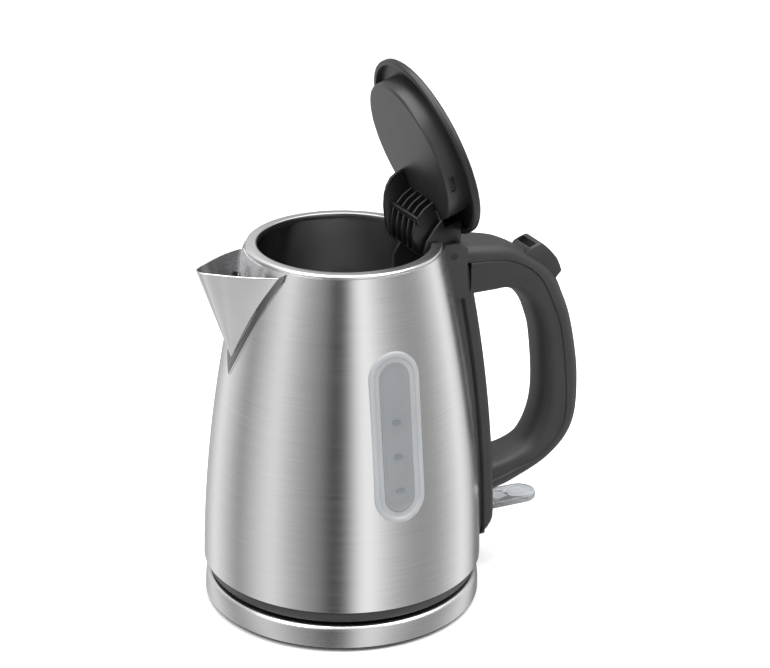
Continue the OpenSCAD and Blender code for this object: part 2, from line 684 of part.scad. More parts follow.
module lid_cover() {
    top = lid_z + 4.5;
    color([0.13, 0.13, 0.135]) lid_place() rotate_extrude() polygon([[0, top - 3.4], [lid_r - 2.7, top - 3.4],
        [lid_r - 2.7, lid_z], [lid_r - 0.7, lid_z], [lid_r, lid_z + 0.8], [lid_r, top - 1.6],
        [lid_r - 0.6, top - 0.7], [lid_r - 2, top - 0.1], [lid_r - 12, top + 0.3], [0, top + 0.5]]);
}
module lid_plug() {
    color([0.2, 0.2, 0.205]) lid_place() translate([plug_x, 0, 0]) difference() {
        disc(plug_r, face_z, lid_z + 1.1 - eps);
        disc(plug_r - 1.8, face_z + 1.8, lid_z + 3);
    }
}
module lid_arm() {
    link_x = plug_x + plug_r + 0.5;
    link_end = sqrt(pow(lid_r - 2.7, 2) - pow(arm_half, 2)) - 0.3;
    lobe = [[hinge_x - 41, face_z], [hinge_x - 40.6, face_z - 6.5], [hinge_x - 34.4, face_z - 12.9],
        [hinge_x - 20.4, face_z - 18.6], [hinge_x - 10.4, face_z - 19.6], [hinge_x - 3.4, face_z - 14.9],
        [hinge_x + 3.8, hinge_z - 3.8], [hinge_x + 3.8, hinge_z + 3.8], [link_end, lid_z - 0.3],
        [link_end, lid_z + 1], [link_x, lid_z + 1], [link_x, face_z]];
    rib = [[hinge_x - 31, face_z], [hinge_x - 25.6, face_z - 13.3], [hinge_x - 10.4, face_z - 19.6],
        [hinge_x - 3.4, face_z - 14.9], [hinge_x, hinge_z], [link_end, lid_z + 1],
        [link_x, lid_z + 1], [link_x, face_z]];
    color([0.09, 0.09, 0.095]) lid_place() difference() {
        union() {
            for (s = [-1, 1]) translate([0, s * (arm_half - 1), 0]) side_plate(lobe, 1);
            for (y = rib_y) translate([0, y, 0]) side_plate(rib, 0.7);
            rod_y(5.5, arm_half, hinge_x, hinge_z);
            translate([hinge_x - 28.6, -arm_half + 1, face_z - 13.4]) cube([5, 2 * arm_half - 2, 1.6]);
            translate([link_x, -arm_half + 1, lid_z - 3]) cube([link_end - link_x, 2 * arm_half - 2, 4]);
            translate([hinge_x - 26, -arm_half + 1, face_z - 1.6]) cube([10, 2 * arm_half - 2, 1.6]);
        }
        rod_y(pin_r + run, 40, hinge_x, hinge_z);
        translate([hinge_x, 15.4, hinge_z]) rotate([90, 0, 0]) cylinder(r = 6.5, h = 4.5);
    }
}

button_turn = 43.8;
button_foot = 7;                      // underside of the button, below its frame
return_l = button_travel + 3.1;       // length of its spring
seat_z = -button_foot - 0.1 - return_l;
module button_frame() {
    translate([body_r + 42.8, 0, rim_z - 25.6]) rotate([0, button_turn, 0]) children();
}
finger_x = 25.2;                      // finger's front face, out from body_r
module release_button() {
    color([0.1, 0.1, 0.105]) {
        button_frame() side_plate([[-15, -button_foot], [-15, -2], [-11.5, 5.2], [-7.9, 5.3], [2.5, 4.8],
            [10.8, 1.4], [10.8, -button_foot]], 9);
        translate([body_r + finger_x, -2.2, latch_z - 1.2]) cube([3, 4.4, 11]);
    }
}
module button_spring() {
    color([0.7, 0.7, 0.72]) button_frame() translate([0, 0, seat_z]) coil(2.5, 0.35, return_l, 5);
}
module latch_slide() {
    color([0.85, 0.85, 0.83]) {
        rod_x(2, wall_x + 0.6, body_r + finger_x - 0.4, 0, latch_z);
        rod_x(3.4, body_r + 15.5, body_r + 17, 0, latch_z);
    }
}
module latch_spring() {
    color([0.7, 0.7, 0.72]) translate([body_r + 5.1, 0, latch_z]) rotate([0, 90, 0])
        coil(2.75, 0.35, 10.3, 7);
}

base_bottom();
base_ring();
base_top();
base_connector();
base_contacts();
base_feet();
base_screws();
cord_gland();
swivel_ring();
jug_shell();
rim_ring();
spout();
gauge_window();
gauge_chamber();
gauge_gasket();
heater_plate();
heat_spreader();
heating_element();
thermal_control();
bimetal_discs();
jug_contacts();
bottom_skirt();
skirt_screws();
back_channel();
handle_grip();
handle_cover();
mount_bracket();
handle_screws();
steam_tube();
steam_switch();
steam_disc();
indicator_lamp();
hinge_bracket();
hinge_pin();
lid_spring();
lid_cover();
lid_plug();
lid_arm();
release_button();
button_spring();
latch_slide();
latch_spring();
switch_lever();
lever_rocker();
toggle_spring();
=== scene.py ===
import math

import bmesh
import bpy
from mathutils import Matrix, Vector


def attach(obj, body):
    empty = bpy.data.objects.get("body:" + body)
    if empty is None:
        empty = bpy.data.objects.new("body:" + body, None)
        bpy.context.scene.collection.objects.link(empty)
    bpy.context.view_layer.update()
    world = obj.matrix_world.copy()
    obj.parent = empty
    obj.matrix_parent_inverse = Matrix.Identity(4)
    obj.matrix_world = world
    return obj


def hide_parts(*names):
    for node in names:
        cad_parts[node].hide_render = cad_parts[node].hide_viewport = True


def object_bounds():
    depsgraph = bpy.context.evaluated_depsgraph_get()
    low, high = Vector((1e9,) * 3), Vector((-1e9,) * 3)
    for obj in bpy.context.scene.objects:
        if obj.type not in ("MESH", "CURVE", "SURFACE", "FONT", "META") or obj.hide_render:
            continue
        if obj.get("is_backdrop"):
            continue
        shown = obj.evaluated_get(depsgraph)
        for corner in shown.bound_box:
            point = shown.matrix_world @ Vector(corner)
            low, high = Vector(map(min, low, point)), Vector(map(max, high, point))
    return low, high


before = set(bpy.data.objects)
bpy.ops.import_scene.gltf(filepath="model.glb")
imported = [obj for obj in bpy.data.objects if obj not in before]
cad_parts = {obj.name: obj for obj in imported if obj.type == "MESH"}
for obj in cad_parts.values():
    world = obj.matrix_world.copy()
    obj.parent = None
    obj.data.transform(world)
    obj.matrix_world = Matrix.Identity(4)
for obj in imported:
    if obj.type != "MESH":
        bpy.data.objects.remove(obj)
cad_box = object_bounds()
scene = bpy.context.scene
MM = 0.001


# ---- Studio ----
# A pale floor with a ring of soft panels round it, seen through a long lens from the spout's side.
# The panels are painted on the world by compass direction, so the steel shows upright bands.
def compass(degrees):
    return Vector((math.cos(math.radians(degrees)), math.sin(math.radians(degrees)), 0))


CAMERA_TURN, CAMERA_RISE, CAMERA_ROLL, CAMERA_AWAY, LENS_MM = -24.5, 24.306, 0.763, 1200, 104.349
sideways = compass(CAMERA_TURN)
towards = compass(CAMERA_TURN - 90) * math.cos(math.radians(CAMERA_RISE))
towards.z = math.sin(math.radians(CAMERA_RISE))
eye = Vector((0, 0, 101.5)) + towards * CAMERA_AWAY
target = sideways * 22.103 + Vector((0, 0, 149.71))
back = (eye - target).normalized()
level = Vector((0, 0, 1)).cross(back).normalized()
upright = back.cross(level)
roll = math.radians(CAMERA_ROLL)
right = level * math.cos(roll) + upright * math.sin(roll)
upright = back.cross(right)
lens = bpy.data.cameras.new("camera")
lens.sensor_width, lens.lens = 36, LENS_MM
lens.clip_start, lens.clip_end = 0.05, 20
camera = bpy.data.objects.new("camera", lens)
camera.matrix_world = Matrix.Translation(eye * MM) @ Matrix((right, upright, back)).transposed().to_4x4()
scene.collection.objects.link(camera)
scene.camera = camera


class Wire:
    """A socket that can be added, multiplied and compared like a number."""

    def __init__(self, sheet, socket):
        self.sheet, self.socket = sheet, socket

    def maths(self, operation, *others):
        sockets = dict(enumerate([self, *others]))
        return self.sheet.node("ShaderNodeMath", {"operation": operation}, sockets)

    def __add__(self, other):
        return self.maths("ADD", other)

    def __sub__(self, other):
        return self.maths("SUBTRACT", other)

    def __rsub__(self, other):
        return self.maths("MULTIPLY", -1) + other

    def __mul__(self, other):
        return self.maths("MULTIPLY", other)

    def __truediv__(self, other):
        return self.maths("DIVIDE", other)

    def __gt__(self, other):
        return self.maths("GREATER_THAN", other)

    def __lt__(self, other):
        return self.maths("LESS_THAN", other)

    __radd__, __rmul__ = __add__, __mul__


class Sheet:
    """A node tree; node() adds one node, sets it up, joins its sockets and returns one output."""

    def __init__(self, tree):
        self.tree = tree
        tree.nodes.clear()

    def node(self, kind, settings=None, sockets=None, out=0):
        made = self.tree.nodes.new(kind)
        for name, value in (settings or {}).items():
            if name == "stops":
                ramp = made.color_ramp
                while len(ramp.elements) < len(value):
                    ramp.elements.new(0.5)
                for stop, (place, tone) in zip(ramp.elements, value):
                    stop.position, stop.color = place, (tone, tone, tone, 1)
            else:
                setattr(made, name, value)
        for name, value in (sockets or {}).items():
            if isinstance(value, Wire):
                self.tree.links.new(value.socket, made.inputs[name])
            else:
                made.inputs[name].default_value = value
        return Wire(self, made.outputs[out]) if made.outputs else made


PANELS = [(-180, 0.35), (-150, 0.5), (-131, 0.9), (-112, 0.6), (-95, 0.27), (-60, 0.84), (-44, 0.5),
          (-31, 0.33), (-17, 0.2), (-9, 0.02), (1, 0.02), (6, 0.3), (12, 0.8), (20, 1.1), (38, 0.58),
          (52, 0.38), (68, 0.3), (85, 0.36), (104, 0.66), (117, 0.95), (130, 0.7), (146, 0.12), (180, 0.35)]
world = bpy.data.worlds.new("studio")
world.use_nodes = True
scene.world = world
studio = Sheet(world.node_tree)
ray = studio.node("ShaderNodeTexCoord", out="Generated")
along = studio.node("ShaderNodeVectorMath", {"operation": "DOT_PRODUCT"}, {0: ray, 1: sideways}, "Value")
facing = studio.node("ShaderNodeVectorMath", {"operation": "DOT_PRODUCT"},
                     {0: ray, 1: compass(CAMERA_TURN - 90)}, "Value")
turn = along.maths("ARCTAN2", facing) / (2 * math.pi) + 0.5
bands = studio.node("ShaderNodeValToRGB", {"stops": [(a / 360 + 0.5, tone) for a, tone in PANELS]},
                    {0: turn})
height = studio.node("ShaderNodeSeparateXYZ", sockets={0: ray}, out="Z")
overhead = studio.node("ShaderNodeMapRange", {"interpolation_type": "SMOOTHSTEP"},
                       {0: height, 1: 0.45, 2: 0.95, 4: 1.0})
sky = studio.node("ShaderNodeMix", {"data_type": "RGBA"}, {0: overhead, 6: bands, 7: (1, 1, 1, 1)}, 2)
below = studio.node("ShaderNodeMapRange", {"interpolation_type": "SMOOTHSTEP"},
                    {0: height, 1: -0.62, 2: -0.9, 4: 1.0})
sky = studio.node("ShaderNodeMix", {"data_type": "RGBA"}, {0: below, 6: sky, 7: (0.75, 0.75, 0.76, 1)}, 2)
glow = studio.node("ShaderNodeBackground", sockets={0: sky, 1: 1.15})
studio.node("ShaderNodeOutputWorld", sockets={0: glow})

for name, turned, rise, reach, size, power in (
        ("top_panel", -10, 82, 1.6, 1.8, 34), ("left_panel", 200, 38, 1.7, 1.1, 16),
        ("right_panel", -50, 40, 1.7, 0.9, 12)):
    lamp = bpy.data.lights.new(name, "AREA")
    lamp.size, lamp.energy = size, power
    panel = bpy.data.objects.new(name, lamp)
    spot = compass(turned) * math.cos(math.radians(rise))
    spot.z = math.sin(math.radians(rise))
    panel.location = spot * reach + Vector((0, 0, 0.12))
    panel.rotation_euler = spot.to_track_quat("Z", "Y").to_euler()
    scene.collection.objects.link(panel)

scene.view_settings.view_transform = "Standard"


def finish_named(name, shade, slot=None):
    """A material; shade(sheet) gives the Principled shader's sockets."""
    material = bpy.data.materials.new(name)
    material.use_nodes = True
    sheet = Sheet(material.node_tree)
    surface = sheet.node("ShaderNodeBsdfPrincipled", sockets=shade(sheet))
    sheet.node("ShaderNodeOutputMaterial", sockets={0: surface})
    material["slot"] = slot or ""
    return material


def axis(sheet, vector, name):
    """One coordinate of a vector."""
    return sheet.node("ShaderNodeSeparateXYZ", sockets={0: vector}, out=name)


def vector(sheet, x=0, y=0, z=0):
    return sheet.node("ShaderNodeCombineXYZ", sockets={0: x, 1: y, 2: z})


def bump(sheet, height, step, strength):
    """A normal from a height that is worth a step in metres."""
    return sheet.node("ShaderNodeBump", sockets={"Strength": strength, "Distance": step, "Height": height})


def object_place(sheet):
    return sheet.node("ShaderNodeTexCoord", out="Object")


def tone_mix(sheet, amount, dark, light):
    dark, light = (tuple(c) + (1,) if isinstance(c, tuple) and len(c) == 3 else c for c in (dark, light))
    return sheet.node("ShaderNodeMix", {"data_type": "RGBA"}, {0: amount, 6: dark, 7: light}, 2)


def speckle(sheet, place, scale, detail=2.0):
    return sheet.node("ShaderNodeTexNoise", sockets={"Vector": place, "Scale": scale, "Detail": detail})


def floor_shade(sheet):
    place = object_place(sheet)
    return {"Base Color": tone_mix(sheet, speckle(sheet, place, 3), (0.9, 0.9, 0.9), (0.92, 0.92, 0.92)),
            "Roughness": 0.9}


floor_mesh = bpy.data.meshes.new("floor")
floor_mesh.from_pydata([(-6, -6, 0), (6, -6, 0), (6, 6, 0), (-6, 6, 0)], [], [(0, 1, 2, 3)])
floor_mesh.materials.append(finish_named("pale_floor", floor_shade))
floor = bpy.data.objects.new("floor", floor_mesh)
floor.visible_glossy = False
scene.collection.objects.link(floor)
floor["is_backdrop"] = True


# ---- Black moulded plastic, rubber and screws under the base ----
# The base's underside is an injection-moulded plate with a fine spark-eroded grain.
# Four rubber pads are pushed into its recesses and three pan-head screws close it.
def moulded(name, colour, rough, slot, grain=0.35, wear=0.12):
    """Injection-moulded plastic: fine grain, faint flow clouds and rubbed patches."""

    def shade(sheet):
        place = object_place(sheet)
        cloud = speckle(sheet, place, 35, 3)
        fine = speckle(sheet, place, 2600, 1)
        lighter = tuple(min(1, c * (1 + wear * 2.2) + 0.004) for c in colour)
        return {"Base Color": tone_mix(sheet, cloud, tuple(c * (1 - wear) for c in colour), lighter),
                "Roughness": cloud * 0.14 + fine * 0.08 + (rough - 0.11),
                "Normal": bump(sheet, fine, 0.00008, grain)}

    return finish_named(name, shade, slot)


black = moulded("black_moulding", (0.012, 0.012, 0.013), 0.42, "black_plastic")
rubber = moulded("foot_rubber", (0.02, 0.02, 0.02), 0.75, "rubber", 0.6)


def polished(name, colour, rough, slot, metal=1.0):
    """Plain metal with faint handling marks."""

    def shade(sheet):
        place = object_place(sheet)
        marks = speckle(sheet, place, 420, 4)
        return {"Base Color": tone_mix(sheet, marks, tuple(c * 0.86 for c in colour), colour),
                "Metallic": metal, "Roughness": marks * 0.2 + (rough - 0.1)}

    return finish_named(name, shade, slot)


screw_steel = polished("screw_steel", (0.62, 0.62, 0.64), 0.3, "spring_steel")


def settle(piece, body, *nodes, slot=None):
    """The last calls on a piece: what it moves with and the CAD nodes it stands for; the slot it works out
    is not used.
    """
    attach(piece, body)
    if nodes:
        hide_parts(*nodes)
    slot = slot or piece.data.materials[0].get("slot")
    return piece


def solid(name, points, faces, material, sharp=38, bevel=0, segments=2):
    """A mesh piece from points in millimetres."""
    mesh = bpy.data.meshes.new(name)
    mesh.from_pydata([(p[0] * MM, p[1] * MM, p[2] * MM) for p in points], [], faces)
    work = bmesh.new()
    work.from_mesh(mesh)
    bmesh.ops.remove_doubles(work, verts=work.verts, dist=2e-6)
    bmesh.ops.dissolve_degenerate(work, edges=work.edges, dist=1e-7)
    bmesh.ops.recalc_face_normals(work, faces=work.faces)
    for face in work.faces:
        face.smooth = True
    work.to_mesh(mesh)
    work.free()
    if sharp:
        mesh.set_sharp_from_angle(angle=math.radians(sharp))
    mesh.materials.append(material)
    piece = bpy.data.objects.new(name, mesh)
    scene.collection.objects.link(piece)
    if bevel:
        edge = piece.modifiers.new("edge", "BEVEL")
        edge.width, edge.segments, edge.limit_method = bevel * MM, segments, "ANGLE"
        edge.angle_limit = math.radians(32)
        edge.harden_normals = True
    return piece


def flat_out(piece, material):
    """The piece with its modifiers worked into a plain mesh of one material."""
    made = bpy.data.meshes.new_from_object(piece.evaluated_get(bpy.context.evaluated_depsgraph_get()))
    piece.modifiers.clear()
    piece.data = made
    made.materials.clear()
    made.materials.append(material)
    for face in made.polygons:
        face.material_index = 0
        face.use_smooth = True
    made.set_sharp_from_angle(angle=math.radians(38))
    return piece


def turned(profile, count=128, move=None):
    """Points and faces of a closed profile of (radius, height) spun about Z."""
    n = len(profile)
    points = []
    for i in range(count):
        c, s = math.cos(2 * math.pi * i / count), math.sin(2 * math.pi * i / count)
        points += [(r * c, r * s, z) for r, z in profile]
    faces = [(i * n + k, ((i + 1) % count) * n + k, ((i + 1) % count) * n + (k + 1) % n, i * n + (k + 1) % n)
             for i in range(count) for k in range(n)]
    return ([move(p) for p in points] if move else points), faces


def tube_faces(rings, n):
    """The quads between rings of n points that close on themselves."""
    return [(i * n + k, (i + 1) * n + k, (i + 1) * n + (k + 1) % n, i * n + (k + 1) % n)
            for i in range(rings - 1) for k in range(n)]


def end_faces(rings, n):
    return [tuple(range(n)), tuple(range((rings - 1) * n, rings * n))]


def prism_faces(n):
    """The faces between two copies of an outline of n points."""
    return end_faces(2, n) + [(i, (i + 1) % n, n + (i + 1) % n, n + i) for i in range(n)]


def grown(name, build, inputs, material):
    """A piece made by a Geometry Nodes tree: build(sheet, wires) returns the geometry."""
    group = bpy.data.node_groups.new(name, "GeometryNodeTree")
    group.interface.new_socket("Geometry", in_out="OUTPUT", socket_type="NodeSocketGeometry")
    sockets = {key: group.interface.new_socket(key, in_out="INPUT", socket_type="NodeSocketFloat")
               for key in inputs}
    sheet = Sheet(group)
    given = group.nodes.new("NodeGroupInput")
    wires = {key: Wire(sheet, given.outputs[key]) for key in inputs}
    shape = sheet.node("GeometryNodeRealizeInstances", sockets={0: build(sheet, wires)})
    shape = sheet.node("GeometryNodeSetMaterial", sockets={"Geometry": shape, "Material": material})
    sheet.node("NodeGroupOutput", sockets={0: shape})
    piece = bpy.data.objects.new(name, bpy.data.meshes.new(name))
    scene.collection.objects.link(piece)
    modifier = piece.modifiers.new("grow", "NODES")
    modifier.node_group = group
    for key, value in inputs.items():
        modifier[sockets[key].identifier] = float(value)
    return flat_out(piece, material)


def placed(sheet, shape, x=0, y=0, z=0):
    """A shape whose points go to the given coordinates."""
    place = vector(sheet, x, y, z)
    return sheet.node("GeometryNodeSetPosition", sockets={"Geometry": shape, "Position": place})


def copied(sheet, spots, thing, turn=(0, 0, 0)):
    return sheet.node("GeometryNodeInstanceOnPoints",
                      sockets={"Points": spots, "Instance": thing, "Rotation": turn})


def in_ring(sheet, thing, count, radius, first):
    """Copies of a thing at even turns round Z."""
    spots = sheet.node("GeometryNodeMeshCircle", sockets={"Vertices": count, "Radius": radius})
    number = sheet.node("GeometryNodeInputIndex")
    angle = number * (2 * math.pi / count) + first
    x, y = angle.maths("COSINE") * radius, angle.maths("SINE") * radius
    return copied(sheet, placed(sheet, spots, x, y), thing, vector(sheet, z=angle))


def drum(sheet, radius, low, high, sides=40):
    """A round pad between two heights."""
    body = sheet.node("GeometryNodeMeshCone", sockets={
        "Vertices": sides, "Radius Top": radius, "Radius Bottom": radius, "Depth": high - low}, out="Mesh")
    return sheet.node("GeometryNodeTransform", sockets={0: body, "Translation": vector(sheet, z=low)})


def joined(sheet, *parts):
    made = sheet.node("GeometryNodeJoinGeometry")
    for part in parts:
        sheet.tree.links.new(part.socket, made.socket.node.inputs[0])
    return made


def feet(sheet, w):
    pad = joined(sheet, drum(sheet, w["Radius"], w["Chamfer"], w["Height"]),
                 drum(sheet, w["Radius"] - w["Chamfer"], 0, w["Chamfer"] * 1.02))
    return in_ring(sheet, pad, 4, w["Ring"], math.radians(20))


pads = grown("rubber_feet", feet, {"Radius": 6.4 * MM, "Height": 2.5 * MM, "Chamfer": 0.5 * MM,
                                   "Ring": 66 * MM}, rubber)
settle(pads, "base", "base_feet")


def screws(sheet, w):
    head = drum(sheet, w["Head radius"], w["Head low"], w["Head low"] + 0.001, 24)
    recess = drum(sheet, w["Head radius"] * 0.42, w["Head low"] - 0.0002, w["Head low"] + 0.0006, 6)
    head = sheet.node("GeometryNodeMeshBoolean", {"operation": "DIFFERENCE"}, {0: head, 1: recess}, "Mesh")
    shank = drum(sheet, w["Shank radius"], w["Head low"] + 0.0009, w["Tip"], 16)
    return in_ring(sheet, joined(sheet, head, shank), 3, w["Ring"], w["First turn"])


def screw_ring(name, node, body, ring, head_low, tip, first):
    piece = grown(name, screws, {
        "Head radius": 2.7 * MM, "Shank radius": 1.25 * MM, "Head low": head_low * MM, "Tip": tip * MM,
        "Ring": ring * MM, "First turn": math.radians(first)}, screw_steel)
    settle(piece, body, node)


screw_ring("base_closing_screws", "base_screws", "base", 50, 1.7, 9.8, 60)


# ---- Power base: plate, steel band, top moulding, connector and grommet ----
# A pressed steel band, brushed round, is clipped over the black plastic base, which is moulded in
# two halves; the connector boss stands in the middle and a soft grommet guards the lead's entry.
def brushed(name, colour, rough, slot, fine=2200, depth=0.22, spread=0.1):
    """Steel brushed round the jug: long thin scratches that follow the wall, and painted shade on faces
    turned inwards.
    """

    def shade(sheet):
        place = object_place(sheet)
        x = axis(sheet, place, "X")
        y = axis(sheet, place, "Y")
        z = axis(sheet, place, "Z")
        turn = y.maths("ARCTAN2", x * -1)
        out = (x * x + y * y).maths("SQRT")
        line = vector(sheet, turn * 2.2, z * fine, out * fine)
        broad = vector(sheet, turn * 1.3, z * (fine / 9), out * (fine / 9))
        scratch, streak = speckle(sheet, line, 1, 3), speckle(sheet, broad, 1, 3)
        mixed = scratch * 0.75 + streak * 0.25
        dark = tuple(c * 0.86 for c in colour)
        # Faces turned in towards the axis get half the colour: painted shade on the inner walls.
        facing = sheet.node("ShaderNodeTexCoord", out="Normal")
        outside = (x * axis(sheet, facing, "X")
                   + y * axis(sheet, facing, "Y")).maths("GREATER_THAN", -0.01)
        outer = tone_mix(sheet, mixed, dark, tuple(min(1, c * 1.08) for c in colour))
        return {"Base Color": tone_mix(sheet, outside, tuple(c * 0.5 for c in colour), outer),
                "Metallic": 1.0, "Anisotropic": 0.5,
                "Roughness": mixed * spread + (rough - spread / 2),
                "Normal": bump(sheet, mixed, 0.00004, depth)}

    return finish_named(name, shade, slot)


def disc_profile(*outline):
    """A profile that closes on the axis."""
    return [(0, outline[0][1]), *outline, (0, outline[-1][1])]


def bore(piece, x0, x1, radius, y=0, z=0):
    """Cuts a round hole along X."""
    points, faces = turned(disc_profile((radius, x0), (radius, x1)), 48,
                           lambda p: (p[2], y + p[0], z + p[1]))
    cutter = solid("cutter", points, faces, black)
    cut(piece, cutter)


def cut(piece, cutter):
    knife = piece.modifiers.new("cut", "BOOLEAN")
    knife.operation, knife.object, knife.solver = "DIFFERENCE", cutter, "EXACT"
    bpy.context.view_layer.update()
    flat_out(piece, piece.data.materials[0])
    bpy.data.objects.remove(cutter)


base_steel = brushed("brushed_base_steel", (0.7, 0.7, 0.71), 0.27, "base_steel")
GLAND_Z = 8.7
plate = solid("base_plate", *turned(disc_profile(
    (73.2, 1.5), (74.2, 1.7), (74.6, 2.1), (74.6, 2.75), (72.5, 2.8), (72.5, 3.9))), black)
settle(plate, "base", "base_bottom")
band = solid("base_band", *turned([
    (74.95, 2.85), (75, 3.3), (74.97, 5), (74.85, 8), (74.6, 11), (74.35, 12.2), (74, 13.1), (73.5, 13.9),
    (72.9, 14.4), (72.3, 14.65), (71.75, 14.65), (71.75, 14.3), (72.4, 13.9), (73.1, 13.2), (73.7, 11.8),
    (74.05, 8), (74.15, 3), (74.3, 2.85)],
    192), base_steel, 60)
bore(band, 60, 90, 4.6, 0, GLAND_Z)
settle(band, "base", "base_ring")
SOCKET_R = 25.4
top = solid("base_deck", *turned([
    (SOCKET_R, 11.95), (SOCKET_R + 0.4, 13.9), (SOCKET_R + 1.2, 14.2), (55, 14.2), (56, 13.9), (66, 13.9),
    (67, 14.2), (71.1, 14.2), (71.4, 13.9), (71.4, 12), (70.7, 11.9), (70.7, 3.9), (68.5, 3.9),
    (68.5, 11.9)], 128), black)
bore(top, 55, 90, 4.6, 0, GLAND_Z)
settle(top, "base", "base_top")
connector_grey = moulded("connector_moulding", (0.028, 0.028, 0.03), 0.38, "black_plastic")
boss = solid("connector_boss", *turned([
    (33, 9.4), (33, 11.6), (32.7, 11.9), (18.3, 11.9), (18, 12.2), (18, 26.4), (17.4, 27), (14.6, 27),
    (14.2, 26.6), (14.2, 18), (11.8, 18), (11.8, 26.6), (11.5, 27), (10.1, 27), (9.8, 26.6), (9.8, 18),
    (7.4, 18), (7.4, 26.6), (7.1, 27), (4.4, 27), (3.8, 26.4), (3.8, 17), (0, 17),
    (0, 9.4)], 96), connector_grey)
settle(boss, "base", "base_connector")
brass = polished("contact_brass", (0.72, 0.5, 0.22), 0.3, "brass")
grommet = solid("lead_grommet", *turned([
    (3.35, 66.1), (4.55, 66.1), (4.55, 75), (5.3, 75.1), (5.5, 75.4), (5.5, 76.1), (5.1, 76.6), (3.9, 76.7),
    (3.35, 76.2)],
    64, lambda p: (p[2], p[0], GLAND_Z + p[1])), rubber)
settle(grommet, "base", "cord_gland")
glide = moulded("glide_plastic", (0.62, 0.62, 0.6), 0.4, "pale_plastic")
ring = solid("glide_ring", *turned([(18.05, 12.3), (18.3, 12), (24.8, 12), (25, 12.3), (25, 14.9),
                                    (24.5, 15.3), (18.5, 15.3), (18.05, 14.9)], 96), glide)
settle(ring, "swivel", "swivel_ring")


def dress(node, look):
    """A CAD piece kept as it is, in the drawn material."""
    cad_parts[node].data.materials.clear()
    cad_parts[node].data.materials.append(look)


dress("base_contacts", brass)


# ---- Jug body, holes and floor ----
# One deep-drawn sheet of stainless steel, 0.8 mm thick, tapering on a parabola and brushed round.
# It is slotted for the hinge and the gauge and pierced with pouring holes behind the spout.
SHELL_Z, BODY_H, FOOT_R, MOUTH_R, WALL, STRAIGHT = 23.7, 177.9, 75.5, 51.2, 0.8, 0.12
SHELL_TOP = SHELL_Z + BODY_H - 2
NOTCH_HALF, NOTCH_Z, GAUGE_Z = 20.7, 167.8, 117.5


def wall_at(z):
    t = (z - SHELL_Z) / BODY_H
    return FOOT_R - (FOOT_R - MOUTH_R) * (STRAIGHT * t + (1 - STRAIGHT) * t * t)


def lean_at(z):
    t = (z - SHELL_Z) / BODY_H
    return -(FOOT_R - MOUTH_R) * (STRAIGHT + 2 * (1 - STRAIGHT) * t) / BODY_H


def box(name, low, high):
    points = [(x, y, z) for x in (low[0], high[0]) for y in (low[1], high[1]) for z in (low[2], high[2])]
    return solid(name, points, [(0, 1, 3, 2), (4, 6, 7, 5), (0, 4, 5, 1), (2, 3, 7, 6), (0, 2, 6, 4),
                                (1, 5, 7, 3)], black)


def stadium(width, length, inset=0, count=24):
    """The gauge's outline in X and Z, as points round two half circles."""
    r = width / 2 - inset
    return [(r * math.cos(a), GAUGE_Z + s * (length - width) / 2 + r * math.sin(a))
            for s in (1, -1) for a in (math.pi * (k / count + (0 if s > 0 else 1))
                                       for k in range(count + 1))]


def shell(sheet, w):
    rows, columns = 60, 256
    grid = sheet.node("GeometryNodeMeshGrid", sockets={
        "Size X": 1.0, "Size Y": 1.0, "Vertices X": columns + 1, "Vertices Y": 2 * rows + 3}, out="Mesh")
    spot = sheet.node("GeometryNodeInputPosition")
    across = axis(sheet, spot, "X")
    row = (axis(sheet, spot, "Y") + 0.5) * (2 * rows + 2)
    rise = (row / rows).maths("MINIMUM", (2 * rows + 1 - row) / rows).maths("MAXIMUM", 0)
    inside = (row > rows + 0.5) * (row < 2 * rows + 1.5)
    t = rise * w["Share of height"]
    radius = w["Foot radius"] - (w["Foot radius"] - w["Mouth radius"]) * (
        w["Straight share"] * t + (1 - w["Straight share"]) * t * t)
    radius = radius - inside * w["Wall"]
    angle = across * (2 * math.pi)
    body = placed(sheet, grid, radius * angle.maths("COSINE"), radius * angle.maths("SINE"),
                  t * w["Height"] + SHELL_Z * MM)
    body = sheet.node("GeometryNodeMergeByDistance", sockets={0: body, "Distance": 0.00001})
    holes = sheet.node("GeometryNodeMeshGrid", sockets={
        "Size X": 6 * w["Hole gap"], "Size Y": 5 * w["Hole gap"],
        "Vertices X": 7, "Vertices Y": 6}, out="Mesh")
    spot = sheet.node("GeometryNodeInputPosition")
    side = axis(sheet, spot, "X")
    up = axis(sheet, spot, "Y") + 2.5 * w["Hole gap"]
    outside = side.maths("ABSOLUTE") > (up / 2 + 0.62 * w["Hole gap"])
    holes = sheet.node("GeometryNodeDeleteGeometry", {"domain": "POINT"},
                       {"Geometry": holes, "Selection": outside})
    holes = placed(sheet, holes, -0.07, side, up + w["Lowest hole"])
    punch = drum(sheet, w["Hole radius"], 0, w["Punch length"], 14)
    punches = copied(sheet, holes, punch, (0, math.pi / 2, 0))
    punches = sheet.node("GeometryNodeRealizeInstances", sockets={0: punches})
    return sheet.node("GeometryNodeMeshBoolean", {"operation": "DIFFERENCE"}, {0: body, 1: punches}, "Mesh")


def wall_normals(piece, level):
    """Exact normals on the drawn wall, so that the holes leave no dents in its shine."""
    mesh = piece.data
    normals = []
    for face in mesh.polygons:
        face.use_smooth = True
        for loop in face.loop_indices:
            p = mesh.vertices[mesh.loops[loop].vertex_index].co
            out = Vector((p.x, p.y, 0)).normalized()
            ideal = (out - Vector((0, 0, lean_at(p.z / MM)))).normalized()
            near = face.normal.dot(ideal)
            normals.append(ideal if near > level else -ideal if near < -level else face.normal.copy())
    mesh.normals_split_custom_set([tuple(n) for n in normals])


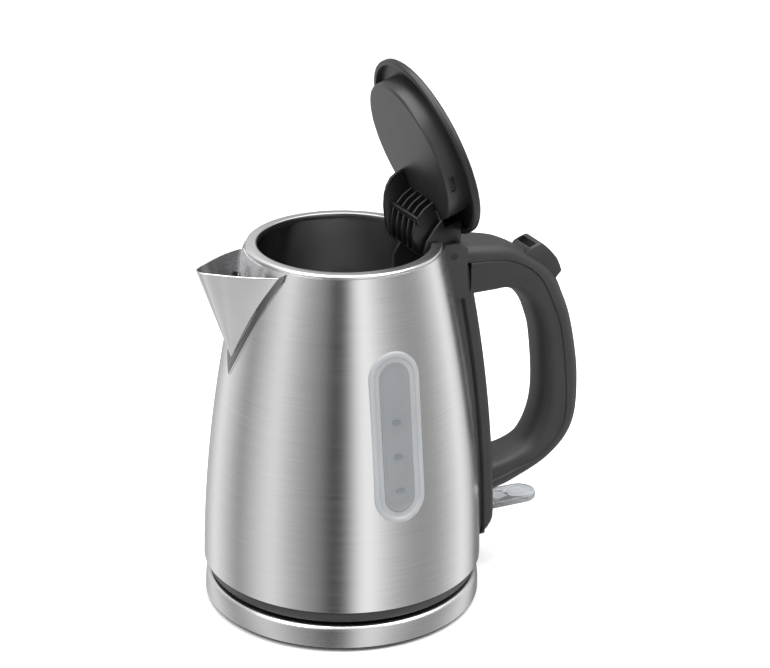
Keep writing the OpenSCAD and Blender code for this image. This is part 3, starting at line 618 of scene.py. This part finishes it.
steel = brushed("brushed_jug_steel", (0.78, 0.78, 0.785), 0.21, "steel")
jug = grown("jug_body", shell, {
    "Foot radius": FOOT_R * MM, "Mouth radius": MOUTH_R * MM, "Height": BODY_H * MM,
    "Straight share": STRAIGHT, "Share of height": (SHELL_TOP - SHELL_Z) / BODY_H, "Wall": WALL * MM,
    "Hole radius": 1.6 * MM, "Hole gap": 5.5 * MM, "Lowest hole": 158.2 * MM, "Punch length": 0.04}, steel)
cut(jug, box("cutter", (20, -NOTCH_HALF, NOTCH_Z), (120, NOTCH_HALF, 230)))
outline = stadium(25.4, 87.4)
points = [(x, y, z) for y in (-90, -52) for x, z in outline]
cut(jug, solid("cutter", points, prism_faces(len(outline)), black))
wall_normals(jug, 0.8)
settle(jug, "jug", "jug_shell")

spun = polished("spun_floor_steel", (0.55, 0.55, 0.56), 0.34, "floor_steel")
R = wall_at(43.7) - WALL - 0.4
pan = solid("jug_floor", *turned([
    (0, 42.9), (60, 42.9), (62, 42.9), (R - 0.4, 43.1), (R, 43.6), (R, 47.5), (R - 0.7, 47.7),
    (R - 0.8, 44.9), (R - 1.8, 43.9), (R - 3, 43.7), (38, 43.7), (36, 44.3), (34, 43.7), (0, 43.7)],
    128), spun)
settle(pan, "jug", "heater_plate")

inner_looks = {
    "heat_spreader": polished("spreader_aluminium", (0.75, 0.76, 0.78), 0.35, "aluminium"),
    "heating_element": polished("element_oxide", (0.16, 0.16, 0.165), 0.6, "element_sheath", 0.6),
    "thermal_control": moulded("control_moulding", (0.66, 0.64, 0.58), 0.45, "pale_plastic"),
    "steam_switch": moulded("switch_moulding", (0.7, 0.69, 0.64), 0.45, "pale_plastic"),
    "bimetal_discs": polished("bimetal", (0.6, 0.5, 0.32), 0.35, "brass"),
    "gauge_gasket": moulded("silicone_seal", (0.62, 0.62, 0.62), 0.55, "silicone"),
    "indicator_lamp": moulded("lamp_cap", (0.8, 0.25, 0.07), 0.25, "lamp", 0.1)}
inner_looks["jug_contacts"] = brass
inner_looks["hinge_pin"] = polished("blackened_pin", (0.03, 0.03, 0.032), 0.4, "spring_steel", 0.5)
inner_looks["steam_disc"] = inner_looks["bimetal_discs"]
for node in ("mount_bracket", "handle_screws", "steam_tube", "lid_spring", "button_spring", "latch_spring",
             "toggle_spring"):
    inner_looks[node] = screw_steel
for node, look in inner_looks.items():
    dress(node, look)


# ---- Rim ring and black skirt ----
# A satin steel ring is rolled over the mouth, open at the hinge, with a bright turned edge.
# Under the body a black moulding closes the jug and leans in towards the base.
def part_turned(profile, half_gap, count=220):
    """A closed profile spun about Z but left open across the hinge's flat-sided gap."""
    n = len(profile)
    points = []
    for i in range(count + 1):
        for r, z in profile:
            start = math.asin(half_gap / r)
            a = start + (2 * math.pi - 2 * start) * i / count
            points.append((r * math.cos(a), r * math.sin(a), z))
    return points, tube_faces(count + 1, n) + end_faces(count + 1, n)


rim_steel = brushed("satin_rim_steel", (0.8, 0.8, 0.8), 0.3, "rim_steel", 1100, 0.25, 0.1)
rim = solid("rim_ring", *part_turned([
    (45.4, 198.5), (45.4, 200.9), (45.55, 201.3), (45.9, 201.55), (46.4, 201.6), (49.9, 201.55),
    (50.5, 201.4), (50.95, 201.05), (51.2, 200.5), (51.2, 199.7), (50.3, 199.7), (50.1, 200.4),
    (46.2, 200.4), (46.2, 198.5)], NOTCH_HALF),
    rim_steel, 30)
settle(rim, "jug", "rim_ring")
skirt = solid("jug_skirt", *turned([
    (30.9, 15.5), (31.2, 15.4), (69.9, 15.4), (70.4, 15.5), (72.3, 16.8), (72.8, 17.4), (74.4, 21.8),
    (74.6, 22.6), (74.6, 23.4), (74.4, 23.65), (73.8, 23.65), (73.8, 30.7), (71.8, 30.7), (71.8, 21.7),
    (70.1, 17.8), (30.9, 17.8)],
    192), black)
settle(skirt, "jug", "bottom_skirt")
screw_ring("skirt_closing_screws", "skirt_screws", "jug", 60, 15.6, 41.2, 0)


# ---- Spout ----
# A V folded from sheet steel and spot-welded to the wall by a flange that runs round its edges.
# Its lip is rolled to a fine bead, and falls a little towards the body.
NOSE_X, LIP_Z, FOOT_Z, LIP_DROP = 81.9, 196.9, 144.2, 0.5
LIP_BOW = [(36, 24.9), (32, 24), (22.7, 19.4), (13.7, 13.4), (8.6, 9.4), (5, 6.7), (2.2, 4.3), (0.6, 2.2),
           (0, 0)]


def smooth_line(corners, steps=10):
    """A smooth line through corners, without its last point."""
    made = []
    for i in range(len(corners) - 1):
        a, b, c, d = (corners[max(0, min(len(corners) - 1, i + k))] for k in (-1, 0, 1, 2))
        for k in range(steps):
            t = k / steps
            made.append(tuple(0.5 * (2 * b[j] + (c[j] - a[j]) * t
                                     + (2 * a[j] - 5 * b[j] + 4 * c[j] - d[j]) * t * t
                                     + (3 * b[j] - 3 * c[j] + d[j] - a[j]) * t ** 3) for j in (0, 1)))
    return made


def lip_outline():
    """The lip from above, from one back corner round the nose to the other."""
    half = [(max(0, back) - NOSE_X, -side) for back, side in smooth_line(LIP_BOW)]
    return half + [(-NOSE_X, 0)] + [(x, -y) for x, y in reversed(half)]


def spout_row(share, count=56):
    """One level of the V, cut off where it meets the wall."""
    z = FOOT_Z + (LIP_Z - FOOT_Z) * share
    apex = -wall_at(FOOT_Z) + 1.0
    limit = wall_at(z - LIP_DROP * share ** 3) - 0.2
    path = [(apex + (x - apex) * share, y * share) for x, y in lip_outline()]
    kept = [p for p in path if math.hypot(*p) >= limit]
    if len(kept) < 3:
        kept = [(-limit, -0.3 * share), (-limit - 0.01, 0), (-limit, 0.3 * share)]
    ends = []
    for first, step in ((kept[0], 1), (kept[-1], -1)):
        k = path.index(first) - step if first in path else -1
        if 0 <= k < len(path):
            a, b = path[k], first
            for _ in range(24):
                middle = ((a[0] + b[0]) / 2, (a[1] + b[1]) / 2)
                a, b = (a, middle) if math.hypot(*middle) >= limit else (middle, b)
            ends.append(b)
        else:
            ends.append(first)
    kept = [ends[0], *kept, ends[1]]
    steps = [0]
    for a, b in zip(kept, kept[1:]):
        steps.append(steps[-1] + math.dist(a, b))
    row = []
    for k in range(count + 1):
        want, i = steps[-1] * k / count, 0
        while i < len(steps) - 2 and steps[i + 1] < want:
            i += 1
        part = (want - steps[i]) / max(1e-9, steps[i + 1] - steps[i])
        x, y = (kept[i][j] + (kept[i + 1][j] - kept[i][j]) * part for j in (0, 1))
        fall = LIP_DROP * (NOSE_X + x) / (NOSE_X - MOUTH_R) * share ** 2
        row.append((x, y, z - fall))
    return row


rows = [spout_row(0.03 + 0.97 * (k / 40)) for k in range(41)]
n = len(rows[0])
points = [p for row in rows for p in row]
faces = [(j * n + i, j * n + i + 1, (j + 1) * n + i + 1, (j + 1) * n + i) for j in range(len(rows) - 1)
         for i in range(n - 1)]


def fold_shade(sheet):
    place = object_place(sheet)
    # Faces whose normal points even slightly upwards, meant for the inside of the V, get a near-black
    # colour: painted shade.
    turned_up = axis(sheet, sheet.node("ShaderNodeTexCoord", out="Normal"), "Z")
    inside = turned_up.maths("GREATER_THAN", 0.04)
    cloud, fine = speckle(sheet, place, 30, 2), speckle(sheet, place, 1500, 1)
    outer = tone_mix(sheet, cloud, (0.66, 0.66, 0.665), (0.86, 0.86, 0.865))
    return {"Base Color": tone_mix(sheet, inside, outer, (0.2, 0.2, 0.205)), "Metallic": 1.0,
            "Roughness": cloud * 0.08 + fine * 0.05 + 0.2}


fold_steel = finish_named("folded_spout_steel", fold_shade, "steel")
fold = solid("spout_fold", points, faces, fold_steel, 0)
inward = fold.data.polygons[len(faces) - n // 2].normal.x > 0
thick = fold.modifiers.new("sheet", "SOLIDIFY")
thick.thickness, thick.offset, thick.use_even_offset = 0.9 * MM, (1 if inward else -1), False
bpy.context.view_layer.update()
flat_out(fold, fold_steel)
settle(fold, "jug", "spout")


def rope(name, path, radius, material, sides=10):
    """A round bead along a path of points in millimetres."""
    points, last = [], len(path) - 1
    for i, p in enumerate(path):
        along = (Vector(path[min(i + 1, last)]) - Vector(path[max(i - 1, 0)])).normalized()
        side = along.cross(Vector((0, 0, 1))).normalized()
        up = side.cross(along)
        points += [tuple(Vector(p) + (side * math.cos(t) + up * math.sin(t)) * radius)
                   for t in (2 * math.pi * k / sides for k in range(sides))]
    return solid(name, points, tube_faces(len(path), sides) + end_faces(len(path), sides), material, 50)


bright = polished("bright_edge_steel", (0.86, 0.86, 0.86), 0.2, "steel")
lip_line = [(x + 0.3, y * 0.985, z + 0.05) for x, y, z in rows[-1]][1:-1]
lip = rope("spout_bead", lip_line, 0.42, bright)
settle(lip, "jug")


def on_wall(side, z, off, y_axis=True):
    """A point on the drawn wall, set off from it, found by its distance from the centre line."""
    reach = wall_at(z) + off
    out = -math.sqrt(reach * reach - side * side)
    return (out, side, z) if y_axis else (side, out, z)


def flange_rows(sign):
    made = []
    for k in range(33):
        t = k / 32
        crease = (24.2 * t ** 0.82, 146 + (196.4 - 146) * t)
        edge = (29.4 * t ** 0.85, 137.6 + (199.3 - 137.6) * t)
        if t > 0.94:
            edge = (29.4 * t - 26 * (t - 0.94) ** 1.5 * 4, edge[1])
        made.append([on_wall(sign * (crease[0] + (edge[0] - crease[0]) * s),
                             crease[1] + (edge[1] - crease[1]) * s, lift)
                     for s, lift in ((-0.15, 0.75), (0.3, 0.8), (0.8, 0.8), (0.93, 0.72), (1, 0.45),
                                     (1.0, 0.02))])
    return made


points, faces = [], []
for sign in (-1, 1):
    strip, first = flange_rows(sign), len(points)
    m = len(strip[0])
    points += [p for row in strip for p in row]
    faces += [(k, k + 1, k + m + 1, k + m)
              for k in (first + j * m + i for j in range(len(strip) - 1) for i in range(m - 1))]
    faces.append(tuple(first + (len(strip) - 1) * m + i for i in range(m)))
flange = solid("spout_flange", points, faces, fold_steel, 30)
settle(flange, "jug")


# ---- Water gauge ----
# A frosted window with a raised lip is pressed into its slot from outside and sealed behind.
# Short level marks are moulded on the chamber's front.
def frosted(name, colour, rough, slot, clear):
    def shade(sheet):
        place = object_place(sheet)
        fine, cloud = speckle(sheet, place, 1800, 2), speckle(sheet, place, 40, 2)
        return {"Base Color": tone_mix(sheet, cloud, tuple(c * 0.88 for c in colour), colour), "IOR": 1.49,
                "Roughness": fine * 0.12 + (rough - 0.06), "Transmission Weight": clear,
                "Normal": bump(sheet, fine, 0.00006, 0.3)}

    return finish_named(name, shade, slot)


window_look = frosted("frosted_window", (0.3, 0.31, 0.32), 0.4, "gauge_clear", 0.05)
GAUGE_W, GAUGE_L = 28, 90


def stadium_skin(name, rings, material, sharp=40):
    """Rings of the gauge's outline, each an inset and a height off the wall, joined inwards."""
    points, faces = [], []
    m = len(stadium(GAUGE_W, GAUGE_L))
    for inset, off in rings:
        points += [on_wall(x, z, off, False) for x, z in stadium(GAUGE_W, GAUGE_L, inset)]
    for j in range(len(rings) - 1):
        faces += [(j * m + i, j * m + (i + 1) % m, (j + 1) * m + (i + 1) % m, (j + 1) * m + i)
                  for i in range(m)]
    return solid(name, points, faces, material, sharp)


pane = [(k, 0.35 - 0.25 * min(1, (k - 3.1) / 2)) for k in (3.1, 3.6, 4.3, 5.2, 6.5, 8, 10, 12, 14)]
window = stadium_skin("gauge_window_pane", [(0, 0.03), (0, 0.9), (0.15, 1.2), (0.5, 1.38), (1, 1.4),
                                            (1.9, 1.38), (2.4, 1.2), (2.7, 0.7), *pane], window_look)
settle(window, "jug", "gauge_window")
chamber_look = frosted("frosted_chamber", (0.19, 0.2, 0.21), 0.42, "gauge_clear", 0.05)
chamber = stadium_skin("gauge_inner_pane", [(5.6, 0.2), (5.7, 0.42), (6.0, 0.5), (6.6, 0.5), (7.0, 0.3),
                                            (8, 0.22), (10, 0.2), (12, 0.2), (14, 0.2)], chamber_look)
settle(chamber, "jug", "gauge_chamber")


def marks(sheet, w):
    line = sheet.node("GeometryNodeMeshLine", sockets={"Count": 3, "Offset": (0, 0, 0)})
    number = sheet.node("GeometryNodeInputIndex")
    z = number * w["Step"] + w["Lowest"]
    t = (z - SHELL_Z * MM) / (BODY_H * MM)
    out = (FOOT_R - (FOOT_R - MOUTH_R) * STRAIGHT * t - (FOOT_R - MOUTH_R) * (1 - STRAIGHT) * t * t) * MM
    spots = placed(sheet, line, 0, out * -1 - 0.0004, z)
    bar = sheet.node("GeometryNodeMeshCube", sockets={"Size": (0.0044, 0.0006, 0.0007)}, out="Mesh")
    return copied(sheet, spots, bar)


mark_look = moulded("mark_print", (0.12, 0.14, 0.16), 0.5, "gauge_clear", 0.1)
level_marks = grown("level_marks", marks, {"Step": 18 * MM, "Lowest": 90 * MM}, mark_look)
settle(level_marks, "jug")


# ---- Back channel ----
# An upright moulding screwed to the jug's back; it carries the steam tube down to the switch.
# A groove parts its outer strip from the handle's spine, and its foot is open for the lever.
handle_look = moulded("soft_touch_grip", (0.016, 0.016, 0.017), 0.52, "handle_plastic", 0.45)
channel_look = moulded("channel_moulding", (0.02, 0.02, 0.021), 0.48, "handle_plastic", 0.4)


def channel_row(z):
    r = wall_at(z)
    share = min(1, (z - 22.4) / 12)
    front = r + 11 - 7 * (1 - share) ** 2.5
    root = math.sqrt(r * r - 16.3 ** 2) - 0.4
    near = [(root, 16.2), (root + 3.4, 16.2), (root + 4.1, 15.7), (root + 4.9, 14.5), (root + 5.5, 14.4),
            (root + 5.9, 15.2), (root + 6.8, 16.1), (front - 3.0, 16.1), (front - 1.4, 15.6),
            (front - 0.4, 14.5), (front, 12.9), (front + 0.05, 6)]
    near = [(min(x, front), y) for x, y in near]
    return [(x, -y, z) for x, y in near] + [(x, y, z) for x, y in reversed(near)]


levels = [22.4, 22.7, 23.4, 24.5, 26, 28, 31, 35] + [40 + 4 * k for k in range(36)] + [182.6, 183.2, 183.5]
rows = [channel_row(z) for z in levels]
n = len(rows[0])
points = [p for row in rows for p in row]
faces = [(j * n + i, j * n + (i + 1) % n, (j + 1) * n + (i + 1) % n, (j + 1) * n + i)
         for j in range(len(rows) - 1) for i in range(n)]
faces += end_faces(len(rows), n)
channel = solid("back_channel", points, faces, channel_look, 30)
LEVER_X, LEVER_Z, NOTCH_GAP = 80.444, 34.5, 0.1
cut(channel, box("cutter", (LEVER_X, -10.5, LEVER_Z - 6), (110, 10.5, LEVER_Z + 4.5)))
cut(channel, box("cutter", (20, NOTCH_GAP - NOTCH_HALF, NOTCH_Z - NOTCH_GAP),
                 (62.5, NOTCH_HALF - NOTCH_GAP, 240)))
settle(channel, "jug", "back_channel")


# ---- Handle ----
# Two hollow halves of soft-touch moulding, the grip inside and the cover outside, snap together
# along a fine shadow line and wrap the channel's upper and lower ends.
REACH, LOW, MID, RIM_Z = 65.8, 133.2, 84.2, 201.6


def handle_line(corners):
    return smooth_line([(FOOT_R + x, RIM_Z - drop) for x, drop in corners])


OUTER = handle_line([(-28, 5), (4.5, 9.4), (22, 14), (44.6, 29.1), (REACH - 11.6, 46), (REACH - 4.9, 65.6),
                     (REACH, MID + 11), (REACH - 1.4, LOW - 9.2), (REACH - 15, LOW + 8.2),
                     (25.5, LOW + 19.8), (2, LOW + 23.8)])
SPLIT = handle_line([(-28, 14.4), (4.5, 17.6), (20.2, 21.4), (35.5, 32.2), (REACH - 19.6, 53),
                     (REACH - 14.9, 68.8), (REACH - 10.8, MID + 16), (REACH - 12.1, LOW - 9.7),
                     (REACH - 25, LOW + 5.6), (24, LOW + 11.8), (2, LOW + 16.2)])
INNER = handle_line([(-28, 35.6), (4.5, 36), (19, 37.8), (30.5, 47.2), (36.9, 61.6), (REACH - 26.1, 74.4),
                     (REACH - 24, MID + 16), (REACH - 25.9, LOW - 16.8), (33.5, LOW - 3.6),
                     (22.5, LOW + 2.4), (2, LOW + 5.2)])


def between(value, places, amounts):
    """Straight-line interpolation in a short table."""
    for (a, p), (b, q) in zip(zip(places, amounts), list(zip(places, amounts))[1:]):
        if value <= b:
            return p + (q - p) * max(0, (value - a) / (b - a))
    return amounts[-1]


def section(i, half_of, sides=16):
    """One cut across a handle half, as points in millimetres."""
    a, s, b = INNER[i], SPLIT[i], OUTER[i]
    deep, outer = math.dist(a, s), math.dist(s, b)
    whole = deep + outer
    width = between((a[0] + b[0]) / 2, (60, 81.5, 101.5, 150), (17.6, 15.4, 13, 13))
    power = between(i, (0, 12, 24, 34, 80, 100), (6.5, 5.5, 3.2, 2.5, 2.5, 4.5))
    seam = 2 * deep / whole - 1
    at_seam = math.copysign(math.asin(min(1, abs(seam) ** (power / 2))), seam)
    first, last = (-math.pi / 2, at_seam) if half_of == "grip" else (at_seam, math.pi / 2)
    edge = []
    for k in range(sides + 1):
        t = first + (last - first) * k / sides
        q = 0.5 + 0.5 * math.copysign(abs(math.sin(t)) ** (2 / power), t)
        edge.append((q * whole, width * abs(math.cos(t)) ** (2 / power)))
    if half_of == "grip":
        edge = edge[:-1] + [(edge[-1][0] - 0.55, edge[-1][1]), (edge[-1][0] - 0.16, edge[-1][1] - 0.5),
                            (edge[-1][0], edge[-1][1] - 0.6)]
    else:
        edge = [(edge[0][0], edge[0][1] - 0.6), (edge[0][0] + 0.16, edge[0][1] - 0.5),
                (edge[0][0] + 0.55, edge[0][1])] + edge[1:]
    ring = []
    for reach, side in edge + [(r, -w) for r, w in reversed(edge)]:
        p, q, share = (a, s, reach / deep) if reach <= deep else (s, b, (reach - deep) / outer)
        ring.append((p[0] + (q[0] - p[0]) * share, side, p[1] + (q[1] - p[1]) * share))
    return ring


def limb(name, half_of, first, last):
    rings = [section(i, half_of) for i in range(first, last + 1)]
    m = len(rings[0])
    points = [p for ring in rings for p in ring]
    return solid(name, points, tube_faces(len(rings), m) + end_faces(len(rings), m), handle_look, 32)


grip = limb("handle_grip", "grip", 6, 99)
settle(grip, "jug", "handle_grip")
cover = limb("handle_cover", "cover", 5, 99)
BUTTON_AT, BUTTON_TURN = (118.3, 176.0), math.radians(43.8)


def by_button(x, y, z):
    c, s = math.cos(BUTTON_TURN), math.sin(BUTTON_TURN)
    return (BUTTON_AT[0] + x * c + z * s, y, BUTTON_AT[1] - x * s + z * c)


well = box("cutter", (-15.4, -9.3, -11.8), (11.1, 9.3, 20))
for corner in well.data.vertices:
    corner.co = Vector(by_button(*(corner.co / MM))) * MM
hole = well.copy()
hole.data = well.data.copy()
scene.collection.objects.link(hole)
cut(cover, well)
cut(grip, hole)
settle(cover, "jug", "handle_cover")


# ---- Release button and latch ----
# A wedge-shaped thumb button stands out of the cover over a spring; its finger draws back a
# white acetal bar that holds the lid shut.
def plate(name, outline, low, high, material, bevel=0.3, move=None, segments=2):
    """An outline in X and Z made a plate between two Y values."""
    points = [(x, y, z) for y in (low, high) for x, z in outline]
    if move:
        points = [move(*p) for p in points]
    return solid(name, points, prism_faces(len(outline)), material, 38, bevel, segments)


button_look = moulded("button_moulding", (0.016, 0.016, 0.017), 0.45, "black_plastic")
button = plate("release_button", [
    (-15, -7), (-15, -2), (-13.6, 1.4), (-11.5, 5), (-7.9, 5.3), (-4, 5.25), (0, 5), (3, 4.6), (7, 3.1),
    (10.8, 1.2), (10.8, -7)], -9, 9, button_look, 0.9, by_button, 3)
flat_out(button, button_look)
dish = plate("cutter", [(-20, -1.2), (-13.2, 3.0), (-12.2, 2.2), (-11.0, -1.2)], -7.2, 7.2, black, 0,
             by_button)
cut(button, dish)
settle(button, "button", "release_button")
finger = plate("button_finger", [(100.7, 172.8), (103.7, 172.8), (103.7, 183.8), (100.7, 183.8)], -2.2, 2.2,
               button_look, 0.3)
settle(finger, "button")
acetal = moulded("latch_acetal", (0.62, 0.62, 0.6), 0.35, "pale_plastic")
bar = solid("latch_bar", *turned(disc_profile(
    (1.6, 60.8), (2, 61.2), (2, 91), (3.4, 91), (3.4, 92.5), (2, 92.5), (2, 100.3)), 32,
    lambda p: (p[2], p[0], 174.0 + p[1])), acetal)
settle(bar, "latch", "latch_slide")


# ---- Switch lever ----
# A clear acrylic paddle snaps into a dark rocker on a cross pin; an oval pad is pressed into it.
def clear_shade(sheet):
    place = object_place(sheet)
    flow = speckle(sheet, place, 60, 2)
    return {"Base Color": tone_mix(sheet, flow, (0.42, 0.44, 0.46), (0.55, 0.57, 0.59)),
            "Roughness": flow * 0.06 + 0.04, "Transmission Weight": 0.8, "IOR": 1.49}


clear = finish_named("clear_acrylic", clear_shade, "paddle_clear")
TIP_X = 75.44 + 11 + 33
outline = [(LEVER_X + 7.05, -9), (LEVER_X + 7.05, 9)] + [
    (TIP_X - 9 + 9 * math.cos(a), 9 * math.sin(a))
    for a in (math.pi / 2 - math.pi * k / 28 for k in range(29))]


def slab(name, outline, low, high, material, bevel):
    """An outline in X and Y made a plate between two heights."""
    points = [(x, y, z) for z in (low, high) for x, y in outline]
    return solid(name, points, prism_faces(len(outline)), material, 38, bevel, 3)


paddle = slab("switch_paddle", outline, LEVER_Z - 2.4, LEVER_Z + 1.6, clear, 0.8)
flat_out(paddle, clear)
oval = [(TIP_X - 13 + s * 3 + 3.6 * math.cos(a), 3.6 * math.sin(a)) for s, start in ((1, -90), (-1, 90))
        for a in (math.radians(start + 180 * k / 14) for k in range(15))]
cut(paddle, slab("cutter", oval, LEVER_Z + 0.9, LEVER_Z + 5, black, 0))
settle(paddle, "lever", "switch_lever")
rocker = plate("lever_rocker", [
    (LEVER_X - 2.4, LEVER_Z - 1.6), (LEVER_X - 1.6, LEVER_Z - 2.4), (LEVER_X + 7, LEVER_Z - 2),
    (LEVER_X + 7, LEVER_Z + 1.6), (LEVER_X + 2, LEVER_Z + 2.2), (LEVER_X - 1.6, LEVER_Z + 2.4)],
    -8.5, 8.5, button_look, 0.4)
settle(rocker, "lever", "lever_rocker")


# ---- Hinge housing ----
# A black moulding screwed into the rear notch; two ears hold the hinge pin and slots drain it.
def softened(name, node, material, width, angle=38):
    """A CAD piece with its sharp edges rounded."""
    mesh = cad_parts[node].data.copy()
    work = bmesh.new()
    work.from_mesh(mesh)
    bmesh.ops.remove_doubles(work, verts=work.verts, dist=3e-6)
    bmesh.ops.dissolve_limit(work, angle_limit=math.radians(2), verts=work.verts, edges=work.edges)
    for face in work.faces:
        face.smooth = True
    work.to_mesh(mesh)
    work.free()
    mesh.materials.clear()
    mesh.materials.append(material)
    mesh.set_sharp_from_angle(angle=math.radians(angle))
    piece = bpy.data.objects.new(name, mesh)
    scene.collection.objects.link(piece)
    edge = piece.modifiers.new("edge", "BEVEL")
    edge.width, edge.segments, edge.limit_method = width * MM, 2, "ANGLE"
    edge.angle_limit = math.radians(45)
    edge.harden_normals = True
    return piece


gloss_black = moulded("hinge_moulding", (0.007, 0.007, 0.008), 0.34, "black_plastic", 0.2)
housing = softened("hinge_housing", "hinge_bracket", channel_look, 0.35)
settle(housing, "jug", "hinge_bracket")


# ---- Lid ----
# A round cover with a turned-down skirt; a drum-shaped plug snaps under it and reaches into the
# mouth. A ribbed arm on the plug's back turns on the hinge pin.
HINGE_X, HINGE_Z, OPEN = 54.4, 192.0, math.radians(70)
PLUG_X, PLUG_R = -1.5, 39.4


def swung(x, y, z):
    dx, dz = x - HINGE_X, z - HINGE_Z
    return (HINGE_X + dx * math.cos(OPEN) + dz * math.sin(OPEN), y,
            HINGE_Z - dx * math.sin(OPEN) + dz * math.cos(OPEN))


lid_look = moulded("lid_moulding", (0.006, 0.006, 0.0065), 0.4, "lid_plastic", 0.25)
plug_look = moulded("plug_moulding", (0.016, 0.016, 0.017), 0.36, "plug_plastic", 0.25)
lid = solid("lid_cover", *turned([
    (0, 205.3), (47.4, 205.3), (47.4, 202.3), (47.6, 201.9), (49.3, 201.9), (49.8, 202.15), (50.1, 202.7),
    (50.1, 204.6), (49.9, 205.3), (49.3, 205.9), (48.2, 206.3), (44, 206.5), (38, 206.7), (20, 206.85),
    (0, 206.9)], 192,
    lambda p: swung(*p)), lid_look)
settle(lid, "lid", "lid_cover")
plug = solid("lid_plug", *turned([
    (0, 193.4), (37.6, 193.4), (38.4, 193.5), (38.95, 193.8), (39.3, 194.3), (PLUG_R, 195), (PLUG_R, 205.5),
    (0, 205.5)],
    192, lambda p: swung(p[0] + PLUG_X, p[1], p[2])), plug_look)
slot = box("cutter", (-4.5, -45, 196), (4.5, -37.2, 198.6))
for vertex in slot.data.vertices:
    x, y, z = vertex.co / MM
    vertex.co = Vector(swung(PLUG_X + x + 8, y + 0.6, z)) * MM
cut(plug, slot)
settle(plug, "lid", "lid_plug")

ARM_HALF, ARM_WALL, LINK_X, LINK_END = 17.6, 2, 38.4, 43.7
lobe = [(13.4, 193.4), (13.4, 189.5), (14.6, 185.2), (17.6, 181.6), (22, 178.6), (28, 176.2), (34, 174.8),
        (40, 174.1), (44, 173.9), (47.5, 175.2), (51, 178.5), (55.5, 184.5), (58.2, 188.2), (58.2, 195.8),
        (LINK_END, 201.6), (LINK_END, 202.9), (LINK_X, 202.9), (LINK_X, 193.4)]
cheek = [(33, 193.4), (36.7, 186.7), (41, 181), (46.5, 177), (51, 178.5), (55.5, 184.5), (58.2, 188.2),
         (58.2, 195.8), (LINK_END, 201.6), (LINK_END, 202.9), (LINK_X, 202.9), (LINK_X, 193.4)]
arm_parts = [plate("far_lobe", lobe, ARM_HALF - ARM_WALL, ARM_HALF, gloss_black, 0.35, swung),
             plate("near_cheek", cheek, -ARM_HALF, ARM_WALL - ARM_HALF, gloss_black, 0.35, swung),
             plate("cross_bar", [(25.8, 180), (30.8, 180), (30.8, 181.6), (25.8, 181.6)], -16.6, 16.6,
                   gloss_black, 0.3, swung),
             plate("link_bar", [(38.4, 198.9), (43.7, 198.9), (43.7, 202.9), (38.4, 202.9)], -16.6, 16.6,
                   gloss_black, 0.3, swung),
             plate("face_bar", [(28.4, 191.8), (38.4, 191.8), (38.4, 193.4), (28.4, 193.4)], -16.6, 16.6,
                   gloss_black, 0.3, swung),
             solid("hub", *turned(disc_profile((5.1, -17.6), (5.5, -17.2), (5.5, 17.2), (5.1, 17.6)), 40,
                                  lambda p: (HINGE_X + p[0], p[2], HINGE_Z + p[1])), gloss_black)]
for part in arm_parts[:-1]:
    flat_out(part, gloss_black)
with bpy.context.temp_override(active_object=arm_parts[0], selected_editable_objects=arm_parts):
    bpy.ops.object.join()
arm = arm_parts[0]
arm.name = "lid_arm"
settle(arm, "lid", "lid_arm")

rib = plate("rib_form", [(23.4, 193.4), (25, 187), (28.8, 180.1), (36, 176), (44, 174), (51, 178.5),
                         (54.4, 187), (LINK_END, 201.6), (LINK_END, 202.9), (LINK_X, 202.9),
                         (LINK_X, 193.4)], -0.75, 0.75, gloss_black, 0.3, swung)
flat_out(rib, gloss_black)


def ribs(sheet, w):
    row = sheet.node("GeometryNodeMeshLine", sockets={"Count": 5})
    number = sheet.node("GeometryNodeInputIndex")
    row = placed(sheet, row, 0, (number - 2) * w["Spacing"])
    form = sheet.node("GeometryNodeObjectInfo", sockets={"Object": rib}, out="Geometry")
    return copied(sheet, row, form)


arm_ribs = grown("arm_ribs", ribs, {"Spacing": 6.4 * MM}, gloss_black)
bpy.data.objects.remove(rib)
settle(arm_ribs, "lid")


size = {"cad": [list(c) for c in cad_box], "visual": [list(c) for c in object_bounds()]}
